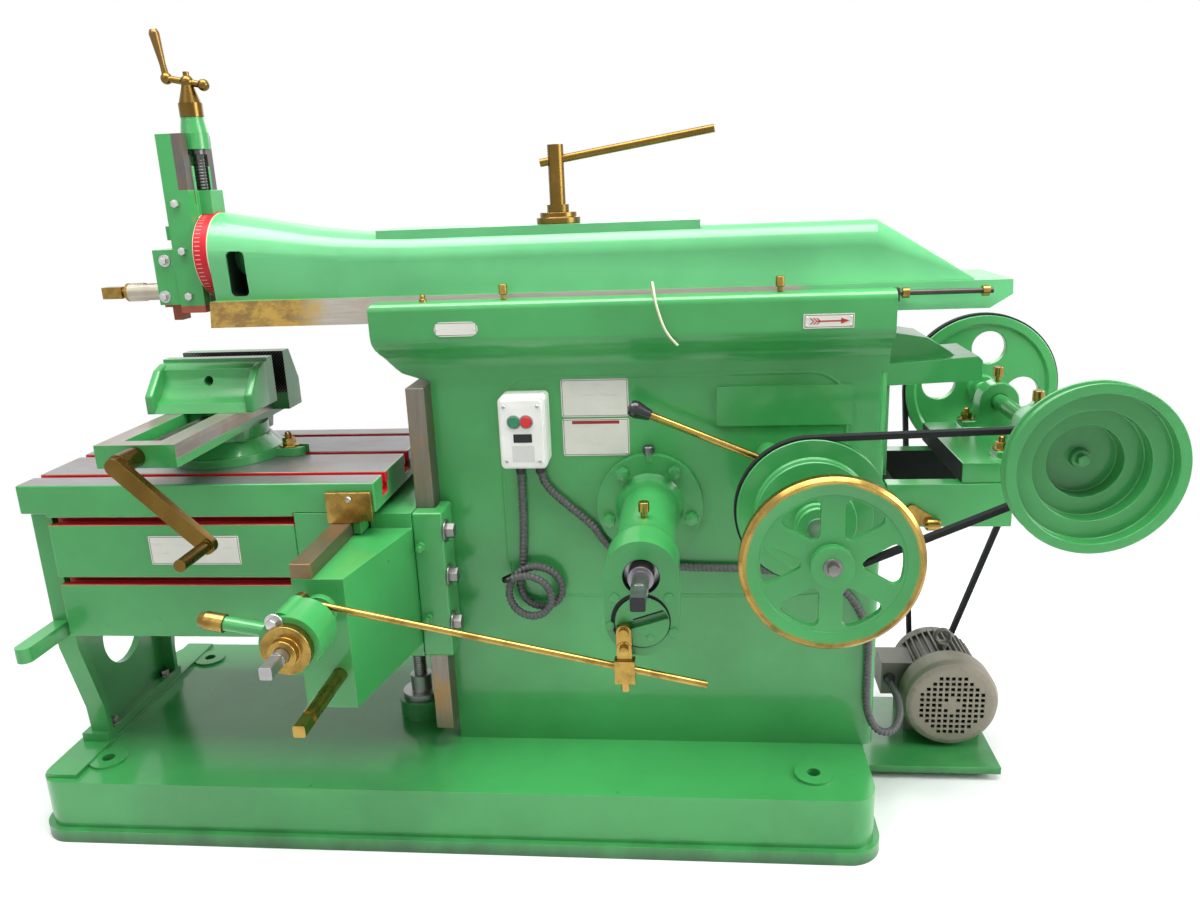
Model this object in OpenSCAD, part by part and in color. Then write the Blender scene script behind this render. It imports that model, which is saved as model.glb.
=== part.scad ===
// Metal shaper with a 600 mm stroke. Millimetres.
// x runs to the rear of the machine, the operator stands at -y, z is up.
// The origin is the centre of the base's underside.

/* [Base] */
// Reach of the base in front of the table support
base_toe = 78; // [60:1:100]
// Reach of the column behind the base
base_heel = 18; // [10:1:24]
// Width of the base
base_w = 516; // [480:1:560]
// Height of the base's top face above the floor
base_h = 114; // [100:1:125]
// Radius of the base's upright corners
base_corner = 45; // [20:1:80]
// Reach of the lip round the foot of the base
base_lip = 10; // [4:1:16]
// Height of that lip
base_lip_h = 24; // [12:1:36]
// Wall of the hollow base casting
base_wall = 26; // [16:1:34]
// Thickness of the cross ribs under the base
base_rib = 40; // [30:1:60]
// Distance of a foundation hole from the end of the base
bolt_inset_x = 96; // [92:1:106]
// Distance of a foundation hole from the side of the base
bolt_inset_y = 70; // [60:1:80]
// Diameter of a foundation hole
bolt_hole_d = 22; // [16:1:26]
// Diameter of the raised pad round a foundation hole
bolt_pad_d = 64; // [50:1:80]
// Height of the cast nut boss under the elevating screw
boss_h = 34; // [25:1:40]

/* [Column] */
// X of the front face of the upright way
way_x = -30; // [-35:1:-25]
// Thickness of the way plate
way_t = 31; // [26:1:36]
// Half width of the way plate
way_half = 135; // [125:1:140]
// Height at which the way plate starts
way_z0 = 157; // [140:1:165]
// Height at which the way plate ends
way_z1 = 776; // [770:1:780]
// X of the rear face of the column
col_rear = 740; // [738:1:745]
// Half width of the column
col_half = 95; // [92:1:98]
// Wall of the hollow column
col_wall = 18; // [12:1:20]
// Radius of the column's rear corners
col_corner = 16; // [6:1:24]
// Height at which the column flares out into the ram guide
flare_z = 800; // [790:1:805]
// Half width of the ram guide
cap_half = 133; // [128:1:138]
// X of the front of the ram guide
cap_front = -80; // [-85:1:-70]
// Height of the top of the ram guide
cap_z = 912; // [908:1:915]
// Radius of the guide's upper edges
cap_round = 14; // [6:1:20]

/* [Ram] */
// X of the ram's front face with the machine at rest
ram_front = -362; // [-370:1:-350]
// X of the ram's rear end with the machine at rest
ram_rear = 920; // [900:1:940]
// Height of the underside of the ram's dovetail
slide_z0 = 876; // [872:1:880]
// Height of the top of the ram's dovetail
slide_z1 = 918; // [916:1:924]
// Half width of the dovetail at its foot
slide_foot = 94; // [90:1:96]
// Half width of the dovetail at its top
slide_top = 86; // [82:1:88]
// Half width of the ram's body
ram_half = 76; // [70:1:80]
// Height of the pad on top of the ram
pad_z = 1022; // [1016:1:1030]
// Height of the axis of the ram's round nose
nose_z = 990; // [986:1:994]
// Radius of the ram's round nose
nose_r = 70; // [66:1:72]
// X of the axis of the ram clamp
clamp_x = 215; // [190:1:240]
// Length of the clamp's bar handle
clamp_bar = 285; // [240:1:300]
// Thickness of the taper gib beside the dovetail
gib_t = 10; // [7:1:12]

/* [Tool head] */
// Thickness of the graduated swivel ring
ring_t = 26; // [22:1:28]
// Half width of the tool slide
tool_half = 50; // [46:1:54]
// Thickness of the tool slide's plate
tool_t = 27; // [22:1:30]
// Height of the tool slide's lower end
tool_z0 = 897; // [892:1:902]
// Height of the tool slide's upper end
tool_z1 = 1187; // [1175:1:1195]
// Depth of the tool slide's dovetail cheeks
cheek_t = 16; // [13:1:18]
// Diameter of the down-feed screw
down_screw_d = 19; // [14:1:22]
// Thickness of the clapper box
clap_t = 38; // [34:1:42]
// Half width of the clapper box
clap_half = 47; // [44:1:50]
// Half width of the clapper block
block_half = 27; // [22:1:30]

/* [Rail and table] */
// X of the cross rail's front face
rail_front = -150; // [-155:1:-145]
// Half length of the cross rail
rail_half = 374; // [360:1:390]
// Height of the rail's underside
rail_z0 = 340; // [335:1:344]
// Height of the rail's top, under the steel bar
rail_z1 = 548; // [546:1:552]
// Height of the steel guide bar
bar_h = 23; // [18:1:26]
// Width of the steel guide bar
bar_w = 32; // [26:1:36]
// X of the feed screw
feed_x = -110; // [-113:1:-107]
// Height of the feed screw
feed_z = 500; // [496:1:504]
// X of the elevating screw
lift_x = -94; // [-97:1:-91]
// Height of the elevating shaft
lift_z = 395; // [390:1:400]
// Diameter of the elevating screw
lift_d = 24; // [18:1:28]
// X of the table's outer end
table_end = -688; // [-700:1:-680]
// X of the table's inner end
table_in = -76; // [-80:1:-72]
// Y of the table's near face
table_y0 = -198; // [-205:1:-190]
// Width of the table
table_w = 356; // [340:1:365]
// Height of the table's top
table_z = 637; // [632:1:640]
// Thickness of the table's top slab
slab_t = 50; // [46:1:52]
// Height of the underside of the table's box
box_z0 = 364; // [355:1:375]
// X of the outer end of the table's box
box_end = -644; // [-650:1:-640]
// Thickness of the saddle between table and rail
saddle_t = 65; // [50:1:75]
// Width of a slot's neck in the table's top
slot_w = 16; // [12:1:18]
// Width of a slot's neck in the table's sides
side_slot_w = 12; // [10:1:14]
// Distance between the slots in the table's top
slot_pitch = 126; // [118:1:130]

/* [Vise] */
// X of the vise's swivel axis
vise_x = -403; // [-410:1:-396]
// Radius of the swivel base
vise_base_r = 100; // [90:1:105]
// Height of the swivel base
vise_base_h = 38; // [34:1:40]
// Height of the jaws' top above the table
jaw_top = 176; // [170:1:180]
// Width of the jaws
jaw_w = 190; // [170:1:200]
// Height of the vise's guide bars above the table
bed_top = 94; // [90:1:98]
// Width over the vise's guide bars
bed_w = 128; // [118:1:136]
// Opening between the jaws at rest
jaw_gap = 46; // [36:1:56]
// Throw of the vise's crank
vise_throw = 172; // [150:1:180]

/* [Drive] */
// X of the crank gear's axis
bull_x = 359; // [355:1:363]
// Height of the crank gear's axis
bull_z = 565; // [561:1:569]
// X of the drive shaft
drive_x = 607; // [603:1:611]
// Height of the drive shaft
drive_z = 598; // [594:1:602]
// Radius of the hand wheel
wheel_r = 119; // [110:1:122]
// Y of the hand wheel's middle
wheel_y = -436; // [-445:1:-425]
// X of the countershaft
counter_x = 977; // [970:1:985]
// Height of the countershaft
counter_z = 681; // [675:1:687]
// Width of one step of the cone pulleys
step_w = 24; // [22:1:25]
// Radius lost from each step of a cone pulley to the next
step_r = 27; // [25:1:28]
// Radius of the largest step of the drive shaft's cone pulley
cone_r = 112; // [110:1:114]
// Radius of the smallest step of the countershaft's cone pulley
cone_small = 40; // [38:1:42]
// Y of the back of the cone pulleys
cone_y = -216; // [-220:1:-212]
// Radius of the countershaft's motor pulley
motor_wheel_r = 139; // [130:1:145]
// Y of the motor belt
motor_belt_y = 236; // [230:1:242]
// Distance of the motor's axis from the rear of the base
motor_gap = 185; // [178:1:192]
// Height of the motor's axis
motor_z = 120; // [116:1:124]
// Radius of the motor's pulley
motor_small = 34; // [28:1:38]
// Radius of the motor's fan cowl
cowl_r = 88; // [82:1:90]
// Y of the face of the fan cowl
cowl_y = 28; // [20:1:36]
// Width of a belt
belt_w = 14; // [10:1:15]
// Thickness of a belt
belt_t = 9; // [7:1:10]

/* [Feed gear] */
// Y of the front of the nose housing
nose_y = -405; // [-412:1:-398]
// Distance from the crank gear's axis down to the feed disc
disc_drop = 66; // [64:1:68]
// Radius of the feed disc
disc_r = 38; // [36:1:39]
// Radius of the nose housing's lobes
lobe_r = 52; // [50:1:54]
// Radius of the nose housing's barrel
barrel_r = 45; // [42:1:47]
// Radius of the flange on the column
flange_r = 88; // [80:1:92]
// Swing radius of the feed arm
arm_r = 34; // [30:1:38]
// Diameter of the feed rod
rod_d = 10; // [8:1:11]

/* [Electrical] */
// Width of the starter
starter_w = 75; // [70:1:85]
// Height of the starter
starter_h = 118; // [110:1:125]
// Depth of the starter
starter_d = 58; // [50:1:64]
// Diameter of the conduit over its ribs
conduit_d = 14; // [12:1:15]

/* [Clearances] */
// Gap between sliding or rolling faces
gap = 0.3; // [0.2:0.05:0.4]
// Radial gap of a shaft in its bore
fit = 0.05; // [0.02:0.01:0.1]

/* [Hidden] */
$fn = 48;

// Colours
green = [0.16, 0.62, 0.33];
brass = [0.80, 0.62, 0.22];
steel = [0.62, 0.62, 0.64];
worn = [0.55, 0.50, 0.46];
grey = [0.66, 0.64, 0.60];
black = [0.05, 0.05, 0.06];

// Cut depth past a face, so that no skin is left
past = 1;

// Base, from the table support to the column
base_x0 = box_end - base_toe;
base_x1 = col_rear - base_heel;
base_len = base_x1 - base_x0;
base_mid = (base_x0 + base_x1) / 2;
pad_h = 5;

// Column
way_back = way_x + way_t;
cavity_x0 = way_back + col_wall;
cavity_x1 = col_rear - col_wall;
cavity_y = col_half - col_wall;
roof_z = slide_z0 - 58;
drive_boss_r = 44;
drive_boss_y = cone_y + 10;
drive_shaft_r = 16;
panel_x0 = 470;
panel_x1 = 684;
panel_z0 = 697;
panel_z1 = 762;
panel_t = 5;
lever_x = 552;
lever_z = 650;
lever_y = -150;
lever_boss_r = 18;
lever_run = 203;
lever_rise = 86;
lever_r = 6;
lever_pin_r = 8;

// Ram
nose_bore_r = 36;
nose_bore_depth = 90;
ram_deck = 994;
tail_x = 719;
tail_end = 865;
pad_x0 = -78;
pad_x1 = 447;
pad_half = 58;
neck_x = -142;
post_r = 13;
post_top = 1146;
flange_h = 18;
clamp_flange_r = 30;
bar_z = 1122;
bar_tilt = 8.5;
bar_short = 26;
bar_r = 6.5;

// Tool head, from the ram forward
ring_x = ram_front - gap - ring_t;
cheek_x = ring_x - 1.5 - cheek_t;
guide_x = cheek_x + gap;
guide_root = 30;
guide_tip = 40;
guide_z1 = 1136;
web_z1 = 1097;
web_half = 22;
plate_x = cheek_x - tool_t;
screw_x = ring_x - 2;
screw_low = 1000;
bell_z0 = 1163;
bell_z1 = 1214;
bell_r = 19;
crank_z = 1269;
collar_z = bell_z1 + gap;
screw_top = collar_z + 26;
clap_x = plate_x - gap - clap_t;
clap_z0 = 911;
clap_z1 = 1003;
pivot_z = 985;
clap_pin_r = 7;
clap_pin_x = clap_x + 20;
box_pin_z = 990;
box_pin_r = 8;
post_z = 930;
tool_post_r = 16;

// Rail and table
rail_back = way_x - gap;
rail_neck = rail_front + 78;
rail_block_half = way_half + 30;
rail_block_z0 = 315;
rail_block_z1 = 574;
channel_z = 22;
channel_y = rail_half - 34;
feed_r = 11;
lift_r = lift_d / 2;
shaft_r = 11;
bevel_r = 24;
bevel_gap = 0.4;
bevel_face = 10;
lift_cavity = 46;
lift_cavity_z1 = 470;
lift_low = 58;
lift_end_y = -527;
saddle_x0 = rail_front - gap - saddle_t;
slab_z0 = table_z - slab_t;
table_y1 = table_y0 + table_w;
table_mid = (table_y0 + table_y1) / 2;
slot_mid = table_mid + 4;
slot_neck = 20;
slot_t_w = 30;
slot_t_h = 14;
side_slots = [574, 467];
side_slot_neck = 14;
side_t_w = 24;
side_t_h = 12;
support_x = box_end - gap;
support_t = 14;
support_x0 = support_x - 44;
support_x1 = support_x - 8;
support_top = slab_z0 - 8;
support_mid = table_mid + 6;
support_half = 160;
support_foot_half = 120;
strip_h = 8;

// Feed gear, from the rail's end outward
rail_end_y = -rail_half;
feed_end_y = -563;
arm_y1 = rail_end_y - 52;
arm_y0 = arm_y1 - 62;
ratchet_r = 27;
arm_ring_r = 43;
rod_y = -415;
rod_pin_x = feed_x - 10;
rod_pin_z = feed_z + sqrt(arm_r * arm_r - 100);
rod_end_x = 447;
rod_end_z = 409;
rod_drop = (rod_pin_z - rod_end_z) / (rod_end_x - rod_pin_x);
link_x = 334;
link_t = 12;
link_w = 21;
rod_clamp_z = rod_pin_z - rod_drop * (link_x - rod_pin_x);
disc_z = bull_z - disc_drop;
disc_face = nose_y - 2;
sleeve_r = 24;
stroke_r = 12;
front_bore_r = 25;
link_pin_z = disc_z - 10;
plunger_turn = 170;
tube_r = 10;
plunger_r = 5;
tube_out = 104;

// Gears: the pinion drives the crank gear inside the column
bull_teeth = 70;
pinion_teeth = 14;
gear_centre = norm([drive_x - bull_x, drive_z - bull_z]);
gear_m = 2 * gear_centre / (bull_teeth + pinion_teeth);
mesh_turn = atan2(drive_z - bull_z, drive_x - bull_x);
gear_y0 = -48;
gear_y1 = -14;
feed_teeth = 24;
feed_m = disc_drop / feed_teeth;
feed_pocket_r = feed_m * (feed_teeth / 2 + 1) + 2;

// Rocker arm
rocker_y0 = 6;
rocker_y1 = 44;
rocker_pivot_z = 170;
rocker_len = 722;
rocker_tilt = 6.6;
rocker_pin_r = 20;
pin_throw = 120;

// Drive behind the column
rear_x = col_rear;
beam_z0 = 528;
beam_z1 = 600;
beam_y = 85;
beam_t = 30;
arm_z0 = 752;
saddle_block_z = 634;
pillow_ys = [-72, 130];
pillow_w = 40;
pillow_r = 34;
counter_r = 14;
cone_rim = 9;
spoke_half = 15;
belt_y = cone_y - step_w / 2;
motor_back = 206;
motor_r = 78;
motor_x = base_x1 + motor_gap;
plate_top = 28;
plate_t = 14;
plate_y0 = cowl_y - 58;
plate_y1 = motor_back + 10;

// Electrical
starter_x = 160;
starter_z = 702;
starter_y = -col_half - starter_d;
button_r = 9;
button_x = [148, 168];
button_z = 722;
conduit_r = conduit_d / 2;
conduit_root = conduit_r - 1;
conduit_bore = conduit_r - 2.6;
conduit_y = -col_half - conduit_r - 1;
coil_x = 173.5;
coil_z = 426.5;
coil_mid_r = 41;
coil_turns = 1.9;
coil_rise = conduit_d + 1;
coil_drift = [-17, -11];
coil_start = 165;

// Points along the supply conduit, x and z
supply_points = [[145, 643], [145, 625], [145, 590], [144, 540], [141, 490], [137.3, 450.6], [133.9, 437.1]];
// Points chosen by hand along the conduit to the motor
motor_run = [[178, 643], [180, 620], [192, 594], [225, 562], [262, 528], [290, 490], [330, 464], [380, 456],
    [450, 452], [520, 450], [600, 440], [680, 410], [720, 340], [724, 260], [726, 190], [744, 150]];
motor_entry = [[772, -92, 140], [795, -45, 140], [804, 10, 140], [804, 60, 140], [804, 93, 140]];
// Points along the oil tube
oil_points = [[371, -100, 912], [371, -104, 924], [372, -118, 932], [374, -132, 924], [378, -139, 900],
    [388, -140, 868], [398, -139, 850], [410, -137, 836]];

// Shift to a place
module at(place) {
    translate(place) children();
}
// Solids along the axes
module box(x0, x1, y0, y1, z0, z1) {
    at([x0, y0, z0]) cube([x1 - x0, y1 - y0, z1 - z0]);
}
module bar_x(y, z, x0, x1, r) {
    at([x0, y, z]) rotate([0, 90, 0]) cylinder(r = r, h = x1 - x0);
}
module bar_y(x, z, y0, y1, r) {
    at([x, y0, z]) rotate([-90, 0, 0]) cylinder(r = r, h = y1 - y0);
}
module bar_z(x, y, z0, z1, r) {
    at([x, y, z0]) cylinder(r = r, h = z1 - z0);
}
// A profile drawn in y and z, carried along x
module along_x(x0, x1) {
    at([x0, 0, 0]) rotate([90, 0, 90]) linear_extrude(x1 - x0) children();
}
// A profile drawn in x and z, carried along y
module along_y(y0, y1) {
    at([0, y1, 0]) rotate([90, 0, 0]) linear_extrude(y1 - y0) children();
}
// A profile drawn as radius and y, turned round an axis along y
module lathe_y(x, z) {
    at([x, 0, z]) rotate([-90, 0, 0]) rotate_extrude() children();
}
module round_rect(l, w, r) {
    square([l - 2 * r, w], center = true);
    square([l, w - 2 * r], center = true);
    for (sx = [-1, 1], sy = [-1, 1])
        at([sx * (l / 2 - r), sy * (w / 2 - r)]) circle(r = r);
}
function arc(cx, cy, r, a0, a1, n) =
    [for (i = [0:n]) [cx + r * cos(a0 + (a1 - a0) * i / n), cy + r * sin(a0 + (a1 - a0) * i / n)]];

// Straight-flanked gear outline; thin leaves backlash
module gear_outline(teeth, m, turn = 0, thin = 0.84) {
    root = m * teeth / 2 - 1.1 * m;
    tip = m * teeth / 2 + 0.8 * m;
    half = 90 / teeth * thin;
    shares = [[root, -1.45], [tip, -0.5], [tip, 0.5], [root, 1.45]];
    polygon([for (i = [0:teeth - 1], s = shares)
        s[0] * [cos(turn + 360 * i / teeth + s[1] * half), sin(turn + 360 * i / teeth + s[1] * half)]]);
}

// Tube along a path: rings of points joined by triangles
function unit(v) = v / norm(v);
function heading(p, i) = unit(p[min(i + 1, len(p) - 1)] - p[max(i - 1, 0)]);
function ring_at(p, i, r, n, side) =
    let (t = heading(p, i), u = unit(cross(side, t)), v = cross(t, u))
    [for (k = [0:n - 1]) p[i] + r * (cos(360 * k / n) * u + sin(360 * k / n) * v)];
function skin(a, b, n) =
    [for (k = [0:n - 1], f = [[a + k, b + k, b + (k + 1) % n], [a + k, b + (k + 1) % n, a + (k + 1) % n]]) f];
module tube(path, radii, n, side) {
    count = len(path);
    points = [for (i = [0:count - 1]) each ring_at(path, i, radii[i], n, side)];
    walls = [for (i = [0:count - 2]) each skin(i * n, (i + 1) * n, n)];
    start = [for (k = [1:n - 2]) [0, k, k + 1]];
    last = (count - 1) * n;
    end = [for (k = [1:n - 2]) [last, last + k + 1, last + k]];
    polyhedron(points, concat(walls, start, end));
}
// A ribbed hose with its bore, ribs one ring wide
module hose(path, n, side) {
    ends = len(path) - 1;
    ribs = [for (i = [0:ends]) i % 2 == 0 ? conduit_root : conduit_r];
    difference() {
        tube(path, ribs, n, side);
        tube(path, [for (i = [0:ends]) conduit_bore], n, side);
    }
}
// Smooth curve through points
function spline(p, steps) = [
    for (i = [0:len(p) - 2], k = [0:steps - 1])
        let (a = p[max(i - 1, 0)], b = p[i], c = p[i + 1], d = p[min(i + 2, len(p) - 1)], t = k / steps)
        0.5 * (2 * b + (c - a) * t + (2 * a - 5 * b + 4 * c - d) * t * t + (3 * b - a - 3 * c + d) * t * t * t),
    p[len(p) - 1]];
function path_length(p, i = 0) = i >= len(p) - 1 ? 0 : norm(p[i + 1] - p[i]) + path_length(p, i + 1);

// Base casting with ribs below, foundation pads and the nut boss
module base() {
    pocket_x = base_len / 2 - base_wall - base_rib / 2;
    pocket_y = base_w / 2 - base_wall - base_rib / 2;
    bolt_x = [base_x0 + bolt_inset_x, base_x1 - bolt_inset_x];
    bolt_y = base_w / 2 - bolt_inset_y;
    color(green) difference() {
        union() {
            at([base_mid, 0]) {
                linear_extrude(base_lip_h)
                    round_rect(base_len + 2 * base_lip, base_w + 2 * base_lip, base_corner + base_lip);
                linear_extrude(base_h) round_rect(base_len, base_w, base_corner);
            }
            for (x = bolt_x, sy = [-1, 1])
                bar_z(x, sy * bolt_y, base_h - past, base_h + pad_h, bolt_pad_d / 2);
            bar_z(lift_x, 0, base_h - past, base_h + boss_h, 44);
            box(support_x0 - 18, support_x1 + 3, 12 - base_w / 2, base_w / 2 - 12,
                base_h - past, base_h + strip_h);
        }
        for (sx = [-1, 1], sy = [-1, 1])
            at([base_mid + sx * (base_rib + pocket_x) / 2, sy * (base_rib + pocket_y) / 2, -past])
                linear_extrude(base_h - base_wall + past) square([pocket_x, pocket_y], center = true);
        for (x = bolt_x, sy = [-1, 1])
            bar_z(x, sy * bolt_y, -past, base_h + strip_h + past, bolt_hole_d / 2);
        bar_z(lift_x, 0, 6, base_h + boss_h + past, lift_r + 2);
    }
}

// Half outline of the ram guide, upward from the flare
function cap_side(s) = concat(
    [[s * (col_half - past), flare_z - 20]],
    [[s * col_half, flare_z - 20]],
    [for (p = arc(col_half + 30, flare_z, 30, 180, 110, 6)) [s * p[0], p[1]]],
    [for (p = arc(cap_half - 26, flare_z + 56, 26, -60, 0, 6)) [s * p[0], p[1]]],
    [for (p = arc(cap_half - cap_round, cap_z - cap_round, cap_round, 0, 90, 5)) [s * p[0], p[1]]]);
function flip(list) = [for (i = [len(list) - 1:-1:0]) list[i]];
module dovetail(grow) {
    top = slide_z1 + grow;
    lean = (slide_foot - slide_top) / (slide_z1 - slide_z0);
    foot = slide_foot + grow;
    polygon([[-foot, slide_z0 - grow], [foot, slide_z0 - grow],
        [foot - lean * (top - slide_z0 + grow), top], [-foot + lean * (top - slide_z0 + grow), top]]);
}
// Hollow column with its flared ram guide on top
module column() {
    front = concat([[cap_front + 6, cap_z], [cap_front, cap_z - 8], [cap_front, cap_z - 44]],
        arc(cap_front + 84, cap_z - 50, 84, 180, 235, 6), [[way_back, way_z1 + 2], [way_back, flare_z - 20],
        [col_rear, flare_z - 20], [col_rear, cap_z]]);
    color(green) difference() {
        union() {
            box(way_back, col_rear - col_corner, -col_half, col_half, base_h, flare_z);
            box(way_back, col_rear, -col_half + col_corner, col_half - col_corner, base_h, flare_z);
            for (s = [-1, 1])
                bar_z(col_rear - col_corner, s * (col_half - col_corner), base_h, flare_z, col_corner);
            intersection() {
                along_x(cap_front, col_rear) polygon(concat(cap_side(1), flip(cap_side(-1))));
                along_y(-cap_half - past, cap_half + past) polygon(front);
            }
            bar_y(drive_x, drive_z, drive_boss_y, 1 - col_half, drive_boss_r);
            bar_y(lever_x, lever_z, lever_y + 12, 1 - col_half, lever_boss_r);
            box(panel_x0, panel_x1, -col_half - panel_t, 1 - col_half, panel_z0, panel_z1);
        }
        box(cavity_x0, cavity_x1, -cavity_y, cavity_y, base_h - past, roof_z);
        along_x(cap_front - past, col_rear + past) dovetail(gap);
        along_x(cap_front - past, col_rear + past) at([-gib_t, 0]) dovetail(gap);
        box(cavity_x0 + 20, cavity_x1 - 20, rocker_y0 - 8, rocker_y1 + 8, roof_z - past, slide_z0);
        bar_y(bull_x, bull_z, -col_half - past, -cavity_y + past, sleeve_r + 8);
        bar_y(drive_x, drive_z, drive_boss_y - past, -cavity_y + past, drive_shaft_r + fit);
        bar_y(drive_x, drive_z, cavity_y - past, col_half + past, drive_shaft_r + fit);
        bar_y(lever_x, lever_z, lever_y + 12 - past, -col_half, lever_pin_r + fit);
        bar_y(bull_x, rocker_pivot_z, cavity_y - past, col_half + past, rocker_pin_r + fit);
    }
}
// Machined upright way on the column's front
module column_way() {
    color(worn) box(way_x, way_back, -way_half, way_half, way_z0, way_z1);
}
// Taper gib of the ram with its adjusting rod
module ram_gib() {
    rod_z = cap_z - 8;
    rod_y1 = -slide_foot - gib_t;
    color(steel) {
        difference() {
            along_x(cap_front + 14, col_rear + 2) intersection() {
                at([-gib_t, 0]) dovetail(0);
                at([-2 * slide_foot, slide_z0]) square([2 * slide_foot, cap_z - slide_z0 - 2]);
            }
            along_x(cap_front, col_rear + 3) dovetail(gap);
        }
        box(col_rear + gap, col_rear + 7, rod_y1 - 9, rod_y1 + 8, rod_z - 12, rod_z + 8);
        bar_x(rod_y1, rod_z, col_rear + 6, col_rear + 146, 4);
        for (x = [col_rear + 12, col_rear + 130])
            bar_x(rod_y1, rod_z, x, x + 10, 8);
    }
}
// Flanged nut for the elevating screw
module elevating_nut() {
    z = base_h + boss_h;
    color(steel) difference() {
        union() {
            bar_z(lift_x, 0, z, z + 12, 36);
            bar_z(lift_x, 0, z, z + 44, lift_r + 8);
        }
        bar_z(lift_x, 0, z - past, z + 44 + past, lift_r + fit);
    }
}
// Housing of the crank gear's sleeve and the feed gears
module nose_housing() {
    lobe_back = nose_y + 62;
    color(green) difference() {
        union() {
            bar_y(bull_x, bull_z, -col_half - 15, -col_half, flange_r);
            bar_y(bull_x, bull_z, lobe_back - past, -col_half, barrel_r);
            bar_y(bull_x, bull_z, nose_y, lobe_back, lobe_r);
            bar_y(bull_x, disc_z, nose_y, lobe_back, lobe_r);
            box(bull_x - lobe_r, bull_x + lobe_r, nose_y, lobe_back, disc_z, bull_z);
            bar_z(bull_x, -col_half - 9, bull_z + flange_r - 12, bull_z + flange_r + 10, 8);
        }
        bar_y(bull_x, bull_z, nose_y - past, -col_half + past, sleeve_r + fit);
        bar_y(bull_x, bull_z, nose_y - past, nose_y + 17, front_bore_r);
        bar_y(bull_x, bull_z, nose_y + 16, nose_y + 44, feed_pocket_r);
        bar_y(bull_x, disc_z, nose_y - past, nose_y + 16, disc_r + gap);
        bar_y(bull_x, disc_z, nose_y + 15, nose_y + 44, feed_pocket_r);
        bar_y(bull_x, disc_z, nose_y + 43, nose_y + 56, 14 + fit);
    }
}
// Starter housing on the column's side
module starter_box() {
    r = 8;
    color([0.92, 0.92, 0.90]) difference() {
        union() {
            at([starter_x, -col_half, starter_z]) rotate([90, 0, 0])
                linear_extrude(starter_d - 6) round_rect(starter_w, starter_h, r);
            at([starter_x, -col_half - starter_d + 6, starter_z]) rotate([90, 0, 0])
                linear_extrude(6) round_rect(starter_w - 8, starter_h - 8, r - 3);
        }
        for (x = button_x)
            bar_y(x, button_z, starter_y - past, starter_y + 14, button_r + gap);
    }
}
// Supply conduit from the starter to the coil
supply_path = spline([for (p = supply_points) [p[0], conduit_y, p[1]]], 6);
module supply_conduit() {
    color([0.25, 0.25, 0.27]) hose(supply_path, 8, [0, 1, 0]);
}
// Coil of the supply conduit in two loops
coil_steps = 84;
function coil_point(k) =
    let (turn = coil_turns * k / coil_steps, a = coil_start + 360 * turn)
    [coil_x + coil_drift[0] * turn + coil_mid_r * cos(a), conduit_y - coil_rise * turn,
        coil_z + coil_drift[1] * turn + coil_mid_r * sin(a)];
coil_path = [for (k = [0:coil_steps]) coil_point(k)];
coil_gap = min([for (i = [0:coil_steps], j = [0:coil_steps]) if (abs(i - j) > 12) norm(coil_path[i] - coil_path[j])])
    - conduit_d;
echo(coil_least_gap = coil_gap, supply_length = path_length(supply_path) + path_length(coil_path));
module conduit_coil() {
    color([0.25, 0.25, 0.27]) hose(coil_path, 8, [0, 1, 0]);
}
// Conduit from the starter to the motor
motor_path = spline(concat([for (p = motor_run) [p[0], conduit_y, p[1]]], motor_entry), 7);
module motor_conduit() {
    color([0.25, 0.25, 0.27]) hose(motor_path, 8, [0.1, 0.9, 0.42]);
}
// Thin oil tube that hangs from the ram guide
oil_path = spline(oil_points, 3);
module oil_tube() {
    color([0.85, 0.82, 0.70]) tube(oil_path, [for (p = oil_path) 2], 8, [1, 0.1, 0]);
}
// Oil cups
module cup(r, h) {
    cylinder(r = r * 0.6, h = h);
    at([0, 0, h * 0.35]) cylinder(r = r, h = h * 0.65);
}
module oil_cups() {
    color(brass) {
        for (x = [137, 567])
            at([x, -115, cap_z]) cup(7, 24);
        at([bull_x, -290, bull_z + barrel_r]) cup(8, 24);
        for (y = pillow_ys)
            at([counter_x, y, counter_z + pillow_r]) cup(9, 26);
    }
}
// Brackets behind the column that carry the countershaft
module countershaft_bracket() {
    color(green) {
        for (s = [0, 1]) mirror([0, s, 0])
            box(rear_x, counter_x - 40, beam_y, beam_y + beam_t, beam_z0, beam_z1);
        box(rear_x, rear_x + 16, -beam_y - past, beam_y + past, beam_z0, beam_z1);
        box(rear_x, rear_x + 9, -60, 50, beam_z1 - past, arm_z0 + 18);
        at([rear_x, 0, arm_z0]) difference() {
            union() {
                along_y(-70, 60) polygon([[0, 0], [150, 6], [149, 38], [142, 45], [0, 36]]);
                along_y(-42, 60) polygon([[0, 20], [128, 30], [104, 50], [68, 72], [0, 84]]);
            }
            box(14, 136, -58, 48, -10, 24);
        }
    }
}
// Sliding base with the two pillow blocks of the countershaft
module bearing_blocks() {
    foot_half = 62;
    color(green) {
        difference() {
            union() {
                box(856, counter_x + foot_half + 14, -112, 156, beam_z1, saddle_block_z);
                for (y = pillow_ys) {
                    along_y(y - pillow_w / 2, y + pillow_w / 2) at([counter_x, saddle_block_z])
                        polygon([[-foot_half, -past], [foot_half, -past], [foot_half, 12], [pillow_r + 6, 12],
                            [pillow_r, counter_z - saddle_block_z], [-pillow_r, counter_z - saddle_block_z],
                            [-pillow_r - 6, 12], [-foot_half, 12]]);
                    bar_y(counter_x, counter_z, y - pillow_w / 2, y + pillow_w / 2, pillow_r);
                }
            }
            for (y = pillow_ys)
                bar_y(counter_x, counter_z, y - pillow_w, y + pillow_w, counter_r + fit);
        }
    }
}

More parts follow.
